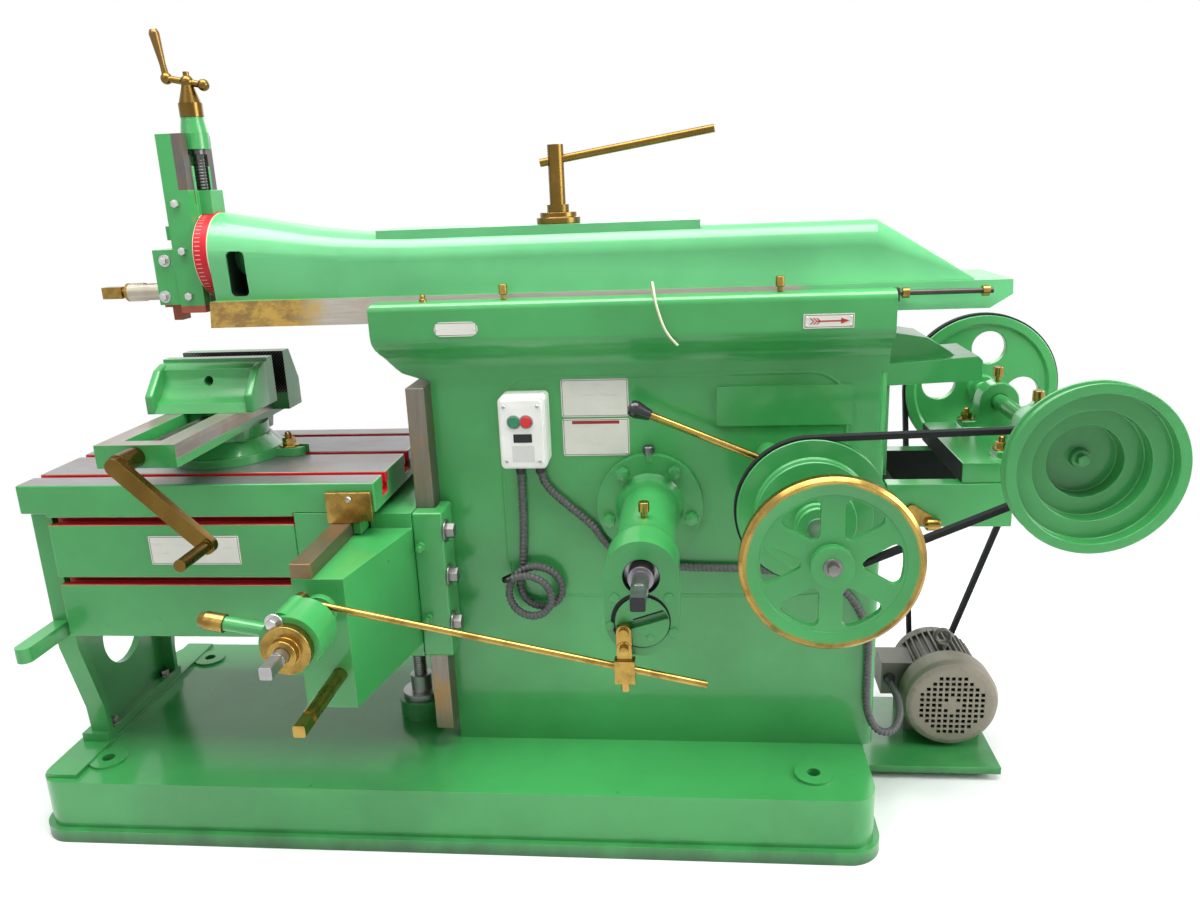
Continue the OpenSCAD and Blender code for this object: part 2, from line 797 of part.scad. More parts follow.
// Outline of a belt round two pulleys
belt_chords = 44;
function belt_loop(a, ra, b, rb) =
    let (c = b - a, way = atan2(c[1], c[0]), t = acos((ra - rb) / norm(c)))
    concat(arc(a[0], a[1], ra, way + t, way + 360 - t, belt_chords),
        arc(b[0], b[1], rb, way - t, way + t, belt_chords));
module belt(a, ra, b, rb, y) {
    difference() {
        along_y(y - belt_w / 2, y + belt_w / 2) polygon(belt_loop(a, ra + belt_t, b, rb + belt_t));
        along_y(y - belt_w, y + belt_w) polygon(belt_loop(a, ra, b, rb));
    }
}
groove = belt_t - 3;
module drive_belt() {
    color(black) belt([drive_x, drive_z], cone_r - groove + gap, [counter_x, counter_z],
        cone_small - groove + gap, belt_y);
}
module motor_belt() {
    color(black) belt([counter_x, counter_z], motor_wheel_r - groove + gap, [motor_x, motor_z],
        motor_small - groove + gap, motor_belt_y);
}
// Motor plate bolted behind the base
module motor_plate() {
    x0 = base_x1 + base_lip;
    color(green) {
        box(x0, motor_x + motor_r, plate_y0, plate_y1, plate_top - plate_t, plate_top);
        box(base_x1, x0 + 4, plate_y0, plate_y1, base_lip_h, plate_top + 56);
    }
}
// Finned motor with feet, terminal box and lifting eye
module motor_body() {
    y0 = cowl_y + 46;
    fins = 40;
    color(grey) difference() {
        union() {
            at([motor_x, motor_back - 16, motor_z]) rotate([90, 0, 0])
                linear_extrude(motor_back - 16 - y0) {
                    circle(r = motor_r - 12);
                    for (i = [0:fins - 1])
                        rotate(360 * i / fins) at([motor_r / 2, 0]) square([motor_r, 3.2], center = true);
                }
            bar_y(motor_x, motor_z, motor_back - 20, motor_back, motor_r - 4);
            bar_y(motor_x, motor_z, y0 - 8, y0 + 4, cowl_r - 3.2);
            for (s = [-1, 1])
                box(motor_x + s * 52 - 20, motor_x + s * 52 + 20, y0 + 16, motor_back - 20, plate_top, motor_z - 40);
            box(motor_x - motor_r - 40, motor_x - motor_r + 20, 93, 158, motor_z - 14, motor_z + 52);
            bar_z(motor_x, 120, motor_z + motor_r - 8, motor_z + motor_r + 6, 10);
            at([motor_x, 120, motor_z + motor_r + 18]) rotate([90, 0, 0])
                rotate_extrude() at([14, 0]) circle(r = 4);
        }
        bar_y(motor_x, motor_z, y0 - 20, motor_back + past, counter_r + fit);
    }
}
// Fan cowl with its grille of square holes
module fan_cowl() {
    pitch = 11;
    hole = 7;
    grille_r = 60;
    reach = floor(grille_r / pitch);
    y1 = cowl_y + 50;
    color(grey) difference() {
        lathe_y(motor_x, motor_z) polygon([[0, cowl_y], [cowl_r - 16, cowl_y], [cowl_r - 5, cowl_y + 5],
            [cowl_r, cowl_y + 16], [cowl_r, y1], [cowl_r - 3, y1], [cowl_r - 3, cowl_y + 17],
            [cowl_r - 7, cowl_y + 8], [cowl_r - 17, cowl_y + 3], [0, cowl_y + 3]]);
        for (i = [-reach:reach], j = [-reach:reach])
            if (norm([i, j]) * pitch < grille_r && norm([i, j]) > 1)
                box(motor_x + i * pitch - hole / 2, motor_x + i * pitch + hole / 2, cowl_y - past, cowl_y + 4,
                    motor_z + j * pitch - hole / 2, motor_z + j * pitch + hole / 2);
    }
}

// Section of the ram's body: upright sides under a round crown
module ram_section(top, half) {
    crown = 40;
    at([-half, slide_z1 - past]) square([2 * half, top - crown - slide_z1 + past]);
    at([-half + crown, slide_z1]) square([2 * half - 2 * crown, top - slide_z1]);
    for (s = [-1, 1])
        at([s * (half - crown), top - crown]) circle(r = crown);
}
module ram() {
    color(green) difference() {
        union() {
            along_x(ram_front, ram_rear) dovetail(0);
            hull() {
                bar_x(0, nose_z, ram_front, ram_front + 4, nose_r, $fn = 40);
                box(ram_front, ram_front + 4, -nose_r + 6, nose_r - 6, slide_z1 - past, nose_z);
                along_x(neck_x, neck_x + 2) ram_section(ram_deck + 24, ram_half, $fn = 32);
            }
            along_x(neck_x, tail_x) ram_section(ram_deck + 20, ram_half);
            along_x(pad_x0, pad_x1) at([-pad_half, slide_z1]) square([2 * pad_half, pad_z - slide_z1]);
            hull() {
                along_x(tail_x - 2, tail_x) ram_section(ram_deck + 20, ram_half, $fn = 32);
                box(tail_end - 2, tail_end, -ram_half, ram_half, slide_z1 - past, slide_z1 + 2);
            }
        }
        bar_x(0, nose_z, ram_front - past, ram_front + nose_bore_depth, nose_bore_r);
        along_y(-nose_r - 20, 0) at([ram_front + 46, nose_z - 29]) round_rect(32, 74, 9);
        along_y(-slide_foot - past, slide_foot + past) polygon([[ram_rear - 36, slide_z0 - past],
            [ram_rear + past, slide_z0 - past], [ram_rear + past, slide_z0 + 21]]);
        bar_z(clamp_x, 0, 930, pad_z + past, post_r + fit);
        box(-60, 640, rocker_y0 - 8, rocker_y1 + 8, slide_z0 - past, slide_z0 + 22);
    }
}
// Brass flange of the ram clamp
module clamp_flange() {
    color(brass) difference() {
        union() {
            bar_z(clamp_x, 0, pad_z, pad_z + flange_h * 0.55, clamp_flange_r + 6);
            bar_z(clamp_x, 0, pad_z, pad_z + flange_h, clamp_flange_r);
        }
        bar_z(clamp_x, 0, pad_z - past, pad_z + flange_h + past, post_r + fit);
    }
}
// Clamp post with its slanted bar handle
module clamp_handle() {
    color(brass) {
        bar_z(clamp_x, 0, 940, post_top, post_r);
        bar_z(clamp_x, 0, pad_z + flange_h + gap, pad_z + flange_h + 12, post_r + 5);
        at([clamp_x, 0, bar_z]) rotate([0, 90 - bar_tilt, 0])
            at([0, 0, -bar_short]) cylinder(r = bar_r, h = clamp_bar);
    }
}

// Swivel head: ring, spigot, web and male dovetail
module swivel_head() {
    color(green) difference() {
        union() {
            bar_x(0, nose_z, ring_x, ring_x + ring_t, nose_r);
            bar_x(0, nose_z, ring_x + 4, ram_front + 60, nose_bore_r - fit);
            along_z_dovetail(gap);
            box(ring_x - 1, ring_x + ring_t - 4, -web_half, web_half, nose_z, web_z1);
        }
        bar_z(screw_x, 0, 930, guide_z1 + past, down_screw_d / 2 + fit);
        box(guide_x - past, ring_x + ring_t, -bell_r - 5, bell_r + 5, web_z1, guide_z1 + past);
        box(ram_front + 28, ram_front + 64, -nose_bore_r, -nose_bore_r + 20, nose_z - 66, nose_z + 8);
    }
}
// Dovetail between swivel head and tool slide, drawn in x and y
module along_z_dovetail(less) {
    at([0, 0, tool_z0 + 12]) linear_extrude(guide_z1 - tool_z0 - 12)
        polygon([[ring_x + 1, -guide_root], [ring_x + 1, guide_root], [guide_x, guide_tip - less],
            [guide_x, -guide_tip + less]]);
}
// Tool slide with the bracket of the down-feed screw
module tool_slide() {
    front_lug = 14;
    color(green) difference() {
        union() {
            box(plate_x, cheek_x, -tool_half, tool_half, tool_z0, tool_z1);
            for (s = [0, 1]) mirror([0, s, 0])
                at([0, 0, tool_z0]) linear_extrude(tool_z1 - tool_z0)
                    polygon([[cheek_x - past, tool_half], [cheek_x + cheek_t, tool_half],
                        [cheek_x + cheek_t, guide_root + 1.5], [cheek_x, guide_tip + gap],
                        [cheek_x - past, guide_tip + gap]]);
            box(plate_x - front_lug, plate_x, -tool_half + 14, tool_half - 14, clap_z1 + 15, clap_z1 + 38);
            bar_z(screw_x, 0, bell_z0, bell_z0 + 26, bell_r + 3);
            at([screw_x, 0, bell_z0 + 25]) cylinder(r1 = bell_r + 3, r2 = bell_r - 1, h = bell_z1 - bell_z0 - 25);
            box(cheek_x - past, screw_x, -bell_r, bell_r, bell_z0, tool_z1 - 4);
        }
        bar_z(screw_x, 0, bell_z0 - past, bell_z1 + past, down_screw_d / 2 + fit);
        bar_x(0, box_pin_z, plate_x - past, cheek_x - 4, box_pin_r + fit);
    }
}
// Down-feed screw
module downfeed_screw() {
    color(steel) {
        bar_z(screw_x, 0, screw_low, screw_top, down_screw_d / 2);
        bar_z(screw_x, 0, bell_z0 - 8, bell_z0 - gap, down_screw_d / 2 + 5);
    }
}
// Ball crank with its index collar and upright grip
module ball_crank() {
    long = 35;
    short = 28;
    tilt = 12;
    color(brass) difference() {
        at([screw_x, 0, 0]) {
            bar_z(0, 0, collar_z, collar_z + 22, bell_r);
            at([0, 0, collar_z + 21]) cylinder(r1 = bell_r - 1, r2 = 8, h = crank_z - collar_z - 21);
            at([0, 0, crank_z]) {
                sphere(r = 11);
                cylinder(r = 5, h = 16);
                rotate([0, tilt, 0]) bar_x(0, 0, -long, short, 5.5);
                at([short * cos(tilt), 0, -short * sin(tilt)]) sphere(r = 9.5);
                at([-long * cos(tilt), 0, long * sin(tilt)]) {
                    sphere(r = 9.5);
                    rotate([0, -8, 0]) rotate_extrude()
                        polygon([[0, 0], [6, 0], [5, 22], [8.5, 70], [6, 76], [0, 76]]);
                }
            }
        }
        bar_z(screw_x, 0, collar_z - past, screw_top, down_screw_d / 2);
    }
}
// Clapper box, pivoted on the tool slide
module clapper_box() {
    color(green) difference() {
        union() {
            box(clap_x, plate_x - gap, -clap_half, clap_half, clap_z0, clap_z1);
            bar_x(0, box_pin_z, plate_x - gap - past, cheek_x - 6, box_pin_r);
        }
        box(clap_x - past, clap_x + 30, -block_half - gap, block_half + gap, clap_z0 - past, clap_z1 - 6);
        bar_y(clap_pin_x, pivot_z, -clap_half - past, clap_half + past, clap_pin_r + fit);
    }
}
// Clapper block that lifts the tool on the return stroke
module clapper_block() {
    color([0.62, 0.25, 0.14]) {
        difference() {
            union() {
                box(clap_x - 4, clap_x + 29, -block_half, block_half, clap_z0 - 6, pivot_z);
                bar_y(clap_pin_x, pivot_z, -block_half, block_half, 10);
                box(clap_x + 2, clap_x + 18, -14, 14, clap_z0 - 30, clap_z0 - 5);
            }
            bar_x(0, post_z, clap_x - 5, clap_x + 10, 8);
        }
        for (s = [-1, 1])
            at([0, s < 0 ? -clap_half : block_half - past, 0])
                bar_y(clap_pin_x, pivot_z, 0, clap_half - block_half + past, clap_pin_r);
    }
}
// Tool post with its slot for the tool and square-headed screw
module tool_post() {
    x1 = clap_x - 4;
    color(brass) difference() {
        union() {
            bar_x(0, post_z, x1, x1 + 13, 8 - fit);
            bar_x(0, post_z, x1 - 78, x1, tool_post_r);
            bar_x(0, post_z, x1 - 88, x1 - 76, 7);
            box(x1 - 122, x1 - 86, -10, 10, post_z - 10, post_z + 10);
        }
        box(x1 - 46, x1 - 14, -8, 8, post_z - 30, post_z + 30);
    }
}

// Cross rail with the feed-screw channel and the bevel-gear pocket
module cross_rail() {
    color(green) difference() {
        union() {
            at([0, 0, rail_z0]) linear_extrude(rail_z1 - rail_z0)
                polygon([[rail_front, -rail_half], [rail_neck, -rail_half], [rail_back, -rail_block_half],
                    [rail_back, rail_block_half], [rail_neck, rail_half], [rail_front, rail_half]]);
            box(rail_front + 50, rail_back, -rail_block_half, rail_block_half, rail_block_z0, rail_block_z1);
            bar_y(feed_x, feed_z, rail_end_y - 10, rail_end_y + past, 24);
        }
        box(rail_front - past, feed_x + 16, -channel_y, channel_y, feed_z - channel_z, feed_z + channel_z);
        bar_y(feed_x, feed_z, rail_end_y - 11, -channel_y + past, feed_r + fit);
        bar_y(feed_x, feed_z, channel_y - past, rail_half + past, feed_r + fit);
        box(lift_x - lift_cavity, lift_x + lift_cavity, -lift_cavity - 20, lift_cavity, rail_block_z0 - past,
            lift_cavity_z1 - 30);
        bar_y(lift_x, lift_z, rail_end_y - past, -lift_cavity, shaft_r + fit);
        bar_z(lift_x, 0, lift_cavity_z1 - 31, lift_cavity_z1, lift_r + fit);
    }
}
// Hardened bar on which the saddle hangs
module rail_guide_bar() {
    color(worn) box(rail_front, rail_front + bar_w, -rail_half, rail_half, rail_z1, rail_z1 + bar_h);
}
// Clamp plates that hold the rail to the way's edges
module rail_clamps() {
    back = way_back + 20;
    color(green) for (s = [0, 1]) mirror([0, s, 0]) {
        box(rail_back, back, way_half + gap, rail_block_half, rail_block_z0, rail_block_z1);
        box(way_back + gap, back, col_half + 4, rail_block_half, rail_block_z0, rail_block_z1);
    }
}
// Square end on a round shaft
module square_end(x, z, y0, y1, r) {
    intersection() {
        bar_y(x, z, y0, y1, r);
        box(x - 0.78 * r, x + 0.78 * r, y0, y1, z - 0.78 * r, z + 0.78 * r);
    }
}
// Elevating shaft with its bevel pinion
module elevating_shaft() {
    back = -bevel_r - bevel_gap;
    color(brass) {
        square_end(lift_x, lift_z, lift_end_y, lift_end_y + 34, shaft_r);
        bar_y(lift_x, lift_z, lift_end_y + 34, back, shaft_r);
        at([lift_x, back, lift_z]) rotate([-90, 0, 0])
            cylinder(r1 = bevel_r, r2 = bevel_r - bevel_face, h = bevel_face);
    }
}
// Elevating screw with its bevel wheel
module elevating_screw() {
    color(steel) {
        bar_z(lift_x, 0, lift_low, lift_cavity_z1 - 2, lift_r);
        at([lift_x, 0, lift_z + bevel_r + bevel_gap - bevel_face])
            cylinder(r1 = bevel_r - bevel_face, r2 = bevel_r, h = bevel_face);
    }
}

// Feed screw with its ratchet wheel and square end
module feed_screw() {
    teeth = 16;
    color(steel) {
        square_end(feed_x, feed_z, feed_end_y, feed_end_y + 34, feed_r);
        bar_y(feed_x, feed_z, feed_end_y + 34, rail_half, feed_r);
        along_y(arm_y0 + 6, arm_y1 - 14) at([feed_x, feed_z])
            polygon([for (i = [0:teeth - 1], p = [[ratchet_r, 0], [ratchet_r - 5, 3]])
                p[0] * [cos(360 * i / teeth + p[1]), sin(360 * i / teeth + p[1])]]);
    }
}
// Brass collar in front of the ratchet
module feed_collar() {
    color(brass) difference() {
        union() {
            bar_y(feed_x, feed_z, arm_y0 - 14, arm_y0 - gap, 35);
            bar_y(feed_x, feed_z, arm_y0 - 26, arm_y0 - gap, 20);
        }
        bar_y(feed_x, feed_z, arm_y0 - 27, arm_y0, feed_r);
    }
}
// Feed arm round the ratchet, with the pin of the feed rod
module pawl_arm() {
    color(green) difference() {
        union() {
            bar_y(feed_x, feed_z, arm_y0, arm_y1, arm_ring_r);
            bar_y(rod_pin_x, rod_pin_z, arm_y0 + 6, arm_y1, 14);
            bar_y(rod_pin_x, rod_pin_z, arm_y1 - past, rod_y + 12, 6);
            at([feed_x, (arm_y0 + arm_y1) / 2, feed_z]) rotate([0, -90 + (180 - plunger_turn), 0])
                at([0, 0, arm_ring_r - 8]) cylinder(r = tube_r, h = tube_out - arm_ring_r + 8);
        }
        bar_y(feed_x, feed_z, arm_y0 - past, arm_y1 - 12, ratchet_r + 1.5);
        bar_y(feed_x, feed_z, arm_y1 - 13, arm_y1 + past, feed_r + fit);
        at([feed_x, (arm_y0 + arm_y1) / 2, feed_z]) rotate([0, -90 + (180 - plunger_turn), 0])
            at([0, 0, ratchet_r - 2]) cylinder(r = plunger_r + fit, h = tube_out);
    }
}
// Pull-out pawl plunger with its knob
module pawl_plunger() {
    color(brass) at([feed_x, (arm_y0 + arm_y1) / 2, feed_z]) rotate([0, -90 + (180 - plunger_turn), 0]) {
        at([0, 0, ratchet_r + 1]) cylinder(r = plunger_r, h = tube_out - ratchet_r + 8);
        at([0, 0, tube_out + gap]) cylinder(r = 13, h = 26);
        at([0, 0, tube_out + 26]) cylinder(r1 = 13, r2 = 9, h = 10);
    }
}
// Feed rod, from the feed arm's pin to its free end
module feed_rod() {
    run = rod_end_x - rod_pin_x;
    fall = rod_pin_z - rod_end_z;
    color(brass) difference() {
        union() {
            at([rod_pin_x, rod_y, rod_pin_z]) rotate([0, 90 + atan2(fall, run), 0])
                at([0, 0, 8]) cylinder(r = rod_d / 2, h = norm([run, fall]) - 8);
            bar_y(rod_pin_x, rod_pin_z, arm_y1 + gap, rod_y + 7, 11);
        }
        bar_y(rod_pin_x, rod_pin_z, arm_y1 - past, rod_y + 8, 6 + fit);
    }
}
// Link between the feed disc's pin and the feed rod
module feed_link() {
    y1 = disc_face - 1;
    color(brass) difference() {
        union() {
            along_y(y1 - link_t, y1) {
                at([link_x - link_w / 2, rod_clamp_z - 14]) square([link_w, link_pin_z - rod_clamp_z + 14]);
                at([link_x, link_pin_z]) circle(r = link_w / 2);
            }
            box(link_x - 14, link_x + 14, rod_y - 10, y1, rod_clamp_z - 20, rod_clamp_z + 14);
            bar_y(link_x, link_pin_z, y1 - link_t - 6, y1, 7);
            bar_z(link_x, rod_y, rod_clamp_z - 34, rod_clamp_z - 19, 6);
        }
        at([link_x, rod_y, rod_clamp_z]) rotate([0, 90 + atan(rod_drop), 0])
            cylinder(r = rod_d / 2, h = 80, center = true);
    }
}

// Undercut slot with its mouth at the origin, opening upward
module t_slot(neck_w, neck, wide, high) {
    at([-neck_w / 2, -neck - past]) square([neck_w, neck + 2 * past]);
    at([-wide / 2, -neck - high]) square([wide, high]);
}
// Table: slotted slab on a hollow box with slotted sides
module table() {
    inner = 42;
    color(green) difference() {
        union() {
            box(table_end, table_in, table_y0, table_y1, slab_z0, table_z);
            box(box_end, saddle_x0, table_y0, table_y1, box_z0, slab_z0 + past);
        }
        for (i = [-1:1])
            along_x(table_end - past, table_in + past) at([slot_mid + i * slot_pitch, table_z])
                t_slot(slot_w, slot_neck, slot_t_w, slot_t_h);
        for (z = side_slots, s = [0, 1])
            along_x(box_end - past, saddle_x0 + past) at([s == 0 ? table_y0 : table_y1, z])
                rotate(s == 0 ? 90 : -90) t_slot(side_slot_w, side_slot_neck, side_t_w, side_t_h);
        box(box_end + 18, saddle_x0 - 24, table_y0 + inner, table_y1 - inner, box_z0 - past, slab_z0 - 24);
    }
}
// Saddle that hangs on the rail's bar and carries the feed nut
module saddle() {
    x1 = rail_front - gap;
    bar_top = rail_z1 + bar_h;
    lip_x = rail_front + bar_w + gap;
    color(green) difference() {
        union() {
            box(saddle_x0, x1, table_y0, table_y1, rail_z0 - 22, slab_z0);
            box(x1 - past, lip_x + 14, table_y0, table_y1, bar_top + gap, slab_z0);
            box(lip_x, lip_x + 14, table_y0, table_y1, rail_z1 + gap + 2, bar_top + past);
            box(x1 - past, rail_front + 28, table_y0, table_y1, rail_z0 - 22, rail_z0 - gap);
            box(x1 - past, feed_x + 15, table_mid - 40, table_mid + 40, feed_z - channel_z + 1, feed_z + channel_z - 1);
        }
        bar_y(feed_x, feed_z, table_mid - 41, table_mid + 41, feed_r + fit);
    }
}
// Brass wiper at the near end of the saddle
module way_wiper() {
    x0 = rail_front - 6;
    y0 = table_y0 - 7;
    z1 = table_z - 14;
    color(brass) {
        box(x0, rail_front + 50 - gap, y0, table_y0, rail_z1 + bar_h + gap, z1);
        box(x0, table_in - 4, y0, table_y0, rail_block_z1 + gap, z1);
    }
}
// Outer support under the table's end
module table_support() {
    z0 = base_h + strip_h + gap;
    waist_z = 330;
    outline = [[-support_foot_half, z0], [support_foot_half, z0], [support_foot_half + 4, 190],
        [support_half, waist_z], [support_half, support_top], [-support_half, support_top],
        [-support_half, waist_z], [-support_foot_half - 4, 190]];
    color(green) difference() {
        union() {
            along_x(support_x0, support_x0 + support_t) at([support_mid, 0]) polygon(outline);
            along_x(support_x0 + support_t, support_x1) at([support_mid, 0]) difference() {
                polygon(outline);
                at([0, 7]) polygon([for (p = outline) [p[0] * 0.91, z0 + (p[1] - z0) * 1.1]]);
            }
            box(support_x0 - 14, support_x1, support_mid - support_foot_half - 10,
                support_mid + support_foot_half + 10, z0, z0 + 16);
            support_lug();
        }
        bar_x(support_mid, 285, support_x0 - past, support_x0 + support_t + past, 62);
        for (s = [-1, 1])
            bar_z(support_x1 - 12, support_mid + s * 90, z0 - past, z0 + 17, 6);
    }
}
// Cast lug on the near side of the support
module support_lug() {
    at([support_x0, 0, 356]) linear_extrude(26) {
        at([0, support_mid - support_half - 96]) square([28, 110]);
        at([14, support_mid - support_half - 96]) circle(r = 14);
    }
}

// Vise, centred over the middle slot
vise_y = slot_mid;
vise_z = table_z;
bed_z0 = vise_z + vise_base_h + gap;
bed_z1 = vise_z + bed_top;
jaw_z1 = vise_z + jaw_top;
bed_y0 = vise_y - 282;
bed_y1 = vise_y + 118;
fixed_y = vise_y + 62;
jaw_y1 = fixed_y - jaw_gap;
jaw_len = 96;
vise_screw_r = 11;
vise_screw_z = bed_z1 - 18;
module vise_base() {
    ear = vise_base_r + 26;
    color(green) difference() {
        union() {
            bar_z(vise_x, vise_y, vise_z, vise_z + 16, vise_base_r);
            at([vise_x, vise_y, vise_z + 15]) cylinder(r1 = vise_base_r - 4, r2 = vise_base_r - 26, h = vise_base_h - 15);
            at([vise_x, vise_y, vise_z]) linear_extrude(15) square([2 * ear, 44], center = true);
            for (s = [-1, 1])
                bar_z(vise_x + s * ear, vise_y, vise_z, vise_z + 15, 22);
        }
        for (s = [-1, 1]) {
            box(vise_x + s * ear - (s > 0 ? 0 : 30), vise_x + s * ear + (s > 0 ? 30 : 0), vise_y - 8, vise_y + 8,
                vise_z - past, vise_z + 16);
            bar_z(vise_x + s * ear, vise_y, vise_z - past, vise_z + 16, 8);
        }
        bar_z(vise_x, vise_y, vise_z - past, vise_z + vise_base_h + past, 15 + fit);
    }
}
// Swivelling bed with its guide bars and fixed jaw
module vise_bed() {
    half = bed_w / 2;
    bar = 34;
    color(green) difference() {
        union() {
            bar_z(vise_x, vise_y, bed_z0, bed_z0 + 20, vise_base_r - 27);
            bar_z(vise_x, vise_y, vise_z + 4, bed_z0 + 1, 15);
            box(vise_x - half, vise_x + half, bed_y0, bed_y1, bed_z1 - 36, bed_z1);
            along_y(vise_y - 60, vise_y + 60) polygon([[vise_x - 60, bed_z0], [vise_x + 60, bed_z0],
                [vise_x + half, bed_z1 - 30], [vise_x - half, bed_z1 - 30]]);
            along_x(vise_x - jaw_w / 2, vise_x + jaw_w / 2) polygon([[fixed_y, bed_z1 - 26], [fixed_y, jaw_z1],
                [fixed_y + 26, jaw_z1], [bed_y1, bed_z1 + 22], [bed_y1, bed_z1 - 26]]);
        }
        box(vise_x - half + bar, vise_x + half - bar, bed_y0 + 26, fixed_y - 8, bed_z1 - 31, bed_z1 + past);
        bar_y(vise_x, vise_screw_z, bed_y0 - past, bed_y0 + 27, vise_screw_r + fit);
        bar_y(vise_x, vise_screw_z, fixed_y - 9, fixed_y + 20, vise_screw_r + fit);
    }
}
// Moving jaw that slides on the bars and carries the nut
module vise_jaw() {
    y0 = jaw_y1 - jaw_len;
    half = bed_w / 2;
    bar = 34;
    color(green) difference() {
        union() {
            along_x(vise_x - jaw_w / 2, vise_x + jaw_w / 2) polygon(concat([[y0, bed_z1 + gap], [jaw_y1, bed_z1 + gap],
                [jaw_y1, jaw_z1], [jaw_y1 - 22, jaw_z1], [jaw_y1 - 22, jaw_z1 - 6], [jaw_y1 - 34, jaw_z1 - 6]],
                [for (p = arc(y0 - 6, jaw_z1 - 14, 54, 0, -74, 5)) [max(p[0], y0), p[1]]]));
            box(vise_x - half + bar + gap, vise_x + half - bar - gap, y0 + 14, jaw_y1 - 14, bed_z1 - 30, bed_z1 + 2);
        }
        bar_y(vise_x, vise_screw_z, y0 - past, jaw_y1 + past, vise_screw_r + fit);
        bar_y(vise_x, jaw_z1 - 34, y0 - past, jaw_y1 - 20, 8);
    }
}
// Vise screw with its crank and grip
module vise_crank() {
    hub_y0 = bed_y0 - 58;
    arm_turn = 45;
    color(brass) {
        bar_y(vise_x, vise_screw_z, hub_y0 + 12, fixed_y + 18, vise_screw_r);
        bar_y(vise_x, vise_screw_z, hub_y0 + 12, bed_y0 - gap, vise_screw_r + 5);
        along_y(hub_y0, hub_y0 + 13) at([vise_x, vise_screw_z]) rotate(-arm_turn) {
            at([0, -13]) square([vise_throw, 26]);
            circle(r = 13);
            at([vise_throw, 0]) circle(r = 13);
        }
        bar_y(vise_x + vise_throw * cos(arm_turn), vise_screw_z - vise_throw * sin(arm_turn), hub_y0 - 74, hub_y0 + past, 9);
    }
}

// Stepped outline of a cone pulley, from its large end
function cone_points(large, steps) = [for (i = [0:steps - 1], w = [0, 1]) [large - i * step_r, (i + w) * step_w]];
// Belt groove round one step
module step_groove(y, r) {
    lathe_y(0, 0) polygon([[r - groove, y - belt_w / 2 - gap], [r + past, y - belt_w / 2 - 1.5],
        [r + past, y + belt_w / 2 + 1.5], [r - groove, y + belt_w / 2 + gap]]);
}
steps = 4;
cone_front = cone_y - steps * step_w;
// Drive shaft with its pinion and the stepped pulley
module cone_pulley() {
    outer = [for (p = cone_points(cone_r, steps)) [p[0], cone_y - p[1]]];
    color(green) {
        difference() {
            lathe_y(drive_x, drive_z) polygon(concat([[0, cone_y]], outer, [[0, cone_front]]));
            for (i = [0:steps - 1])
                at([drive_x, 0, drive_z]) step_groove(belt_y - i * step_w, cone_r - i * step_r);
            lathe_y(drive_x, drive_z) polygon([[40, cone_y + past], [cone_r - cone_rim - groove, cone_y + past],
                [cone_r - cone_rim - groove, cone_y - step_w + 6], [40, cone_y - step_w + 6]]);
        }
        bar_y(drive_x, drive_z, wheel_y - 12, cone_front + past, 16);
        bar_y(drive_x, drive_z, cone_y - past, col_half + 8, drive_shaft_r);
        along_y(gear_y0, gear_y1) at([drive_x, drive_z])
            gear_outline(pinion_teeth, gear_m, mesh_turn + 180 + 180 / pinion_teeth);
    }
}
// Window between two spokes, round the x axis
function wheel_window(reach, half, r, spokes) =
    let (share = 180 / spokes, far = reach - r, turn = share - asin((half + r) / far))
    concat(arc((half + r) / sin(share), 0, r, 90 + share, 270 - share, 4),
        arc(far * cos(turn), -far * sin(turn), r, 270 - share, 360 - turn, 4), arc(0, 0, reach, 3 - turn, turn - 3, 3),
        arc(far * cos(turn), far * sin(turn), r, turn, 90 + share, 4));
// Hand wheel with six broad spokes
module hand_wheel() {
    spokes = 6;
    color(green) difference() {
        union() {
            lathe_y(drive_x, drive_z) polygon([[wheel_r - 24, wheel_y - 6], [wheel_r - 10, wheel_y - 9],
                [wheel_r - 5, wheel_y - 11], [wheel_r, wheel_y - 6], [wheel_r, wheel_y + 6], [wheel_r - 5, wheel_y + 11],
                [wheel_r - 10, wheel_y + 9], [wheel_r - 24, wheel_y + 6]]);
            bar_y(drive_x, drive_z, wheel_y - 16, wheel_y + 20, 28);
            along_y(wheel_y - 5, wheel_y + 5) at([drive_x, drive_z]) difference() {
                circle(r = wheel_r - 20);
                for (i = [0:spokes - 1])
                    rotate(360 * i / spokes) polygon(wheel_window(wheel_r - 28, spoke_half, 9, spokes));
            }
        }
        bar_y(drive_x, drive_z, wheel_y - 12, wheel_y + 21, 16);
    }
}
// Crank gear with its hollow sleeve and feed gear
module bull_gear() {
    rim = gear_m * bull_teeth / 2 - 22;
    color(steel) difference() {
        union() {
            along_y(gear_y0, gear_y1) at([bull_x, bull_z]) difference() {
                gear_outline(bull_teeth, gear_m, mesh_turn);
                circle(r = rim);
            }
            bar_y(bull_x, bull_z, gear_y0 + 10, gear_y1, rim + past);
            bar_y(bull_x, bull_z, nose_y + 20, gear_y0 + 11, sleeve_r);
            along_y(nose_y + 20, nose_y + 42) at([bull_x, bull_z])
                gear_outline(feed_teeth, feed_m, 90, 0.8);
            along_y(gear_y1 - past, gear_y1 + 6) at([bull_x, bull_z]) for (s = [-1, 1])
                at([s * 38 - 8, -30]) square([16, 190]);
        }
        bar_y(bull_x, bull_z, nose_y, gear_y1 + 9, stroke_r + fit);
    }
}
// Block of the crank pin on the crank gear's guides
module crank_block() {
    color(steel) {
        box(bull_x - 29, bull_x + 29, gear_y1 + gap, gear_y1 + 12, bull_z + pin_throw - 26, bull_z + pin_throw + 26);
        bar_y(bull_x, bull_z + pin_throw, gear_y1 + 11, rocker_y0 - 2, 14);
    }
}
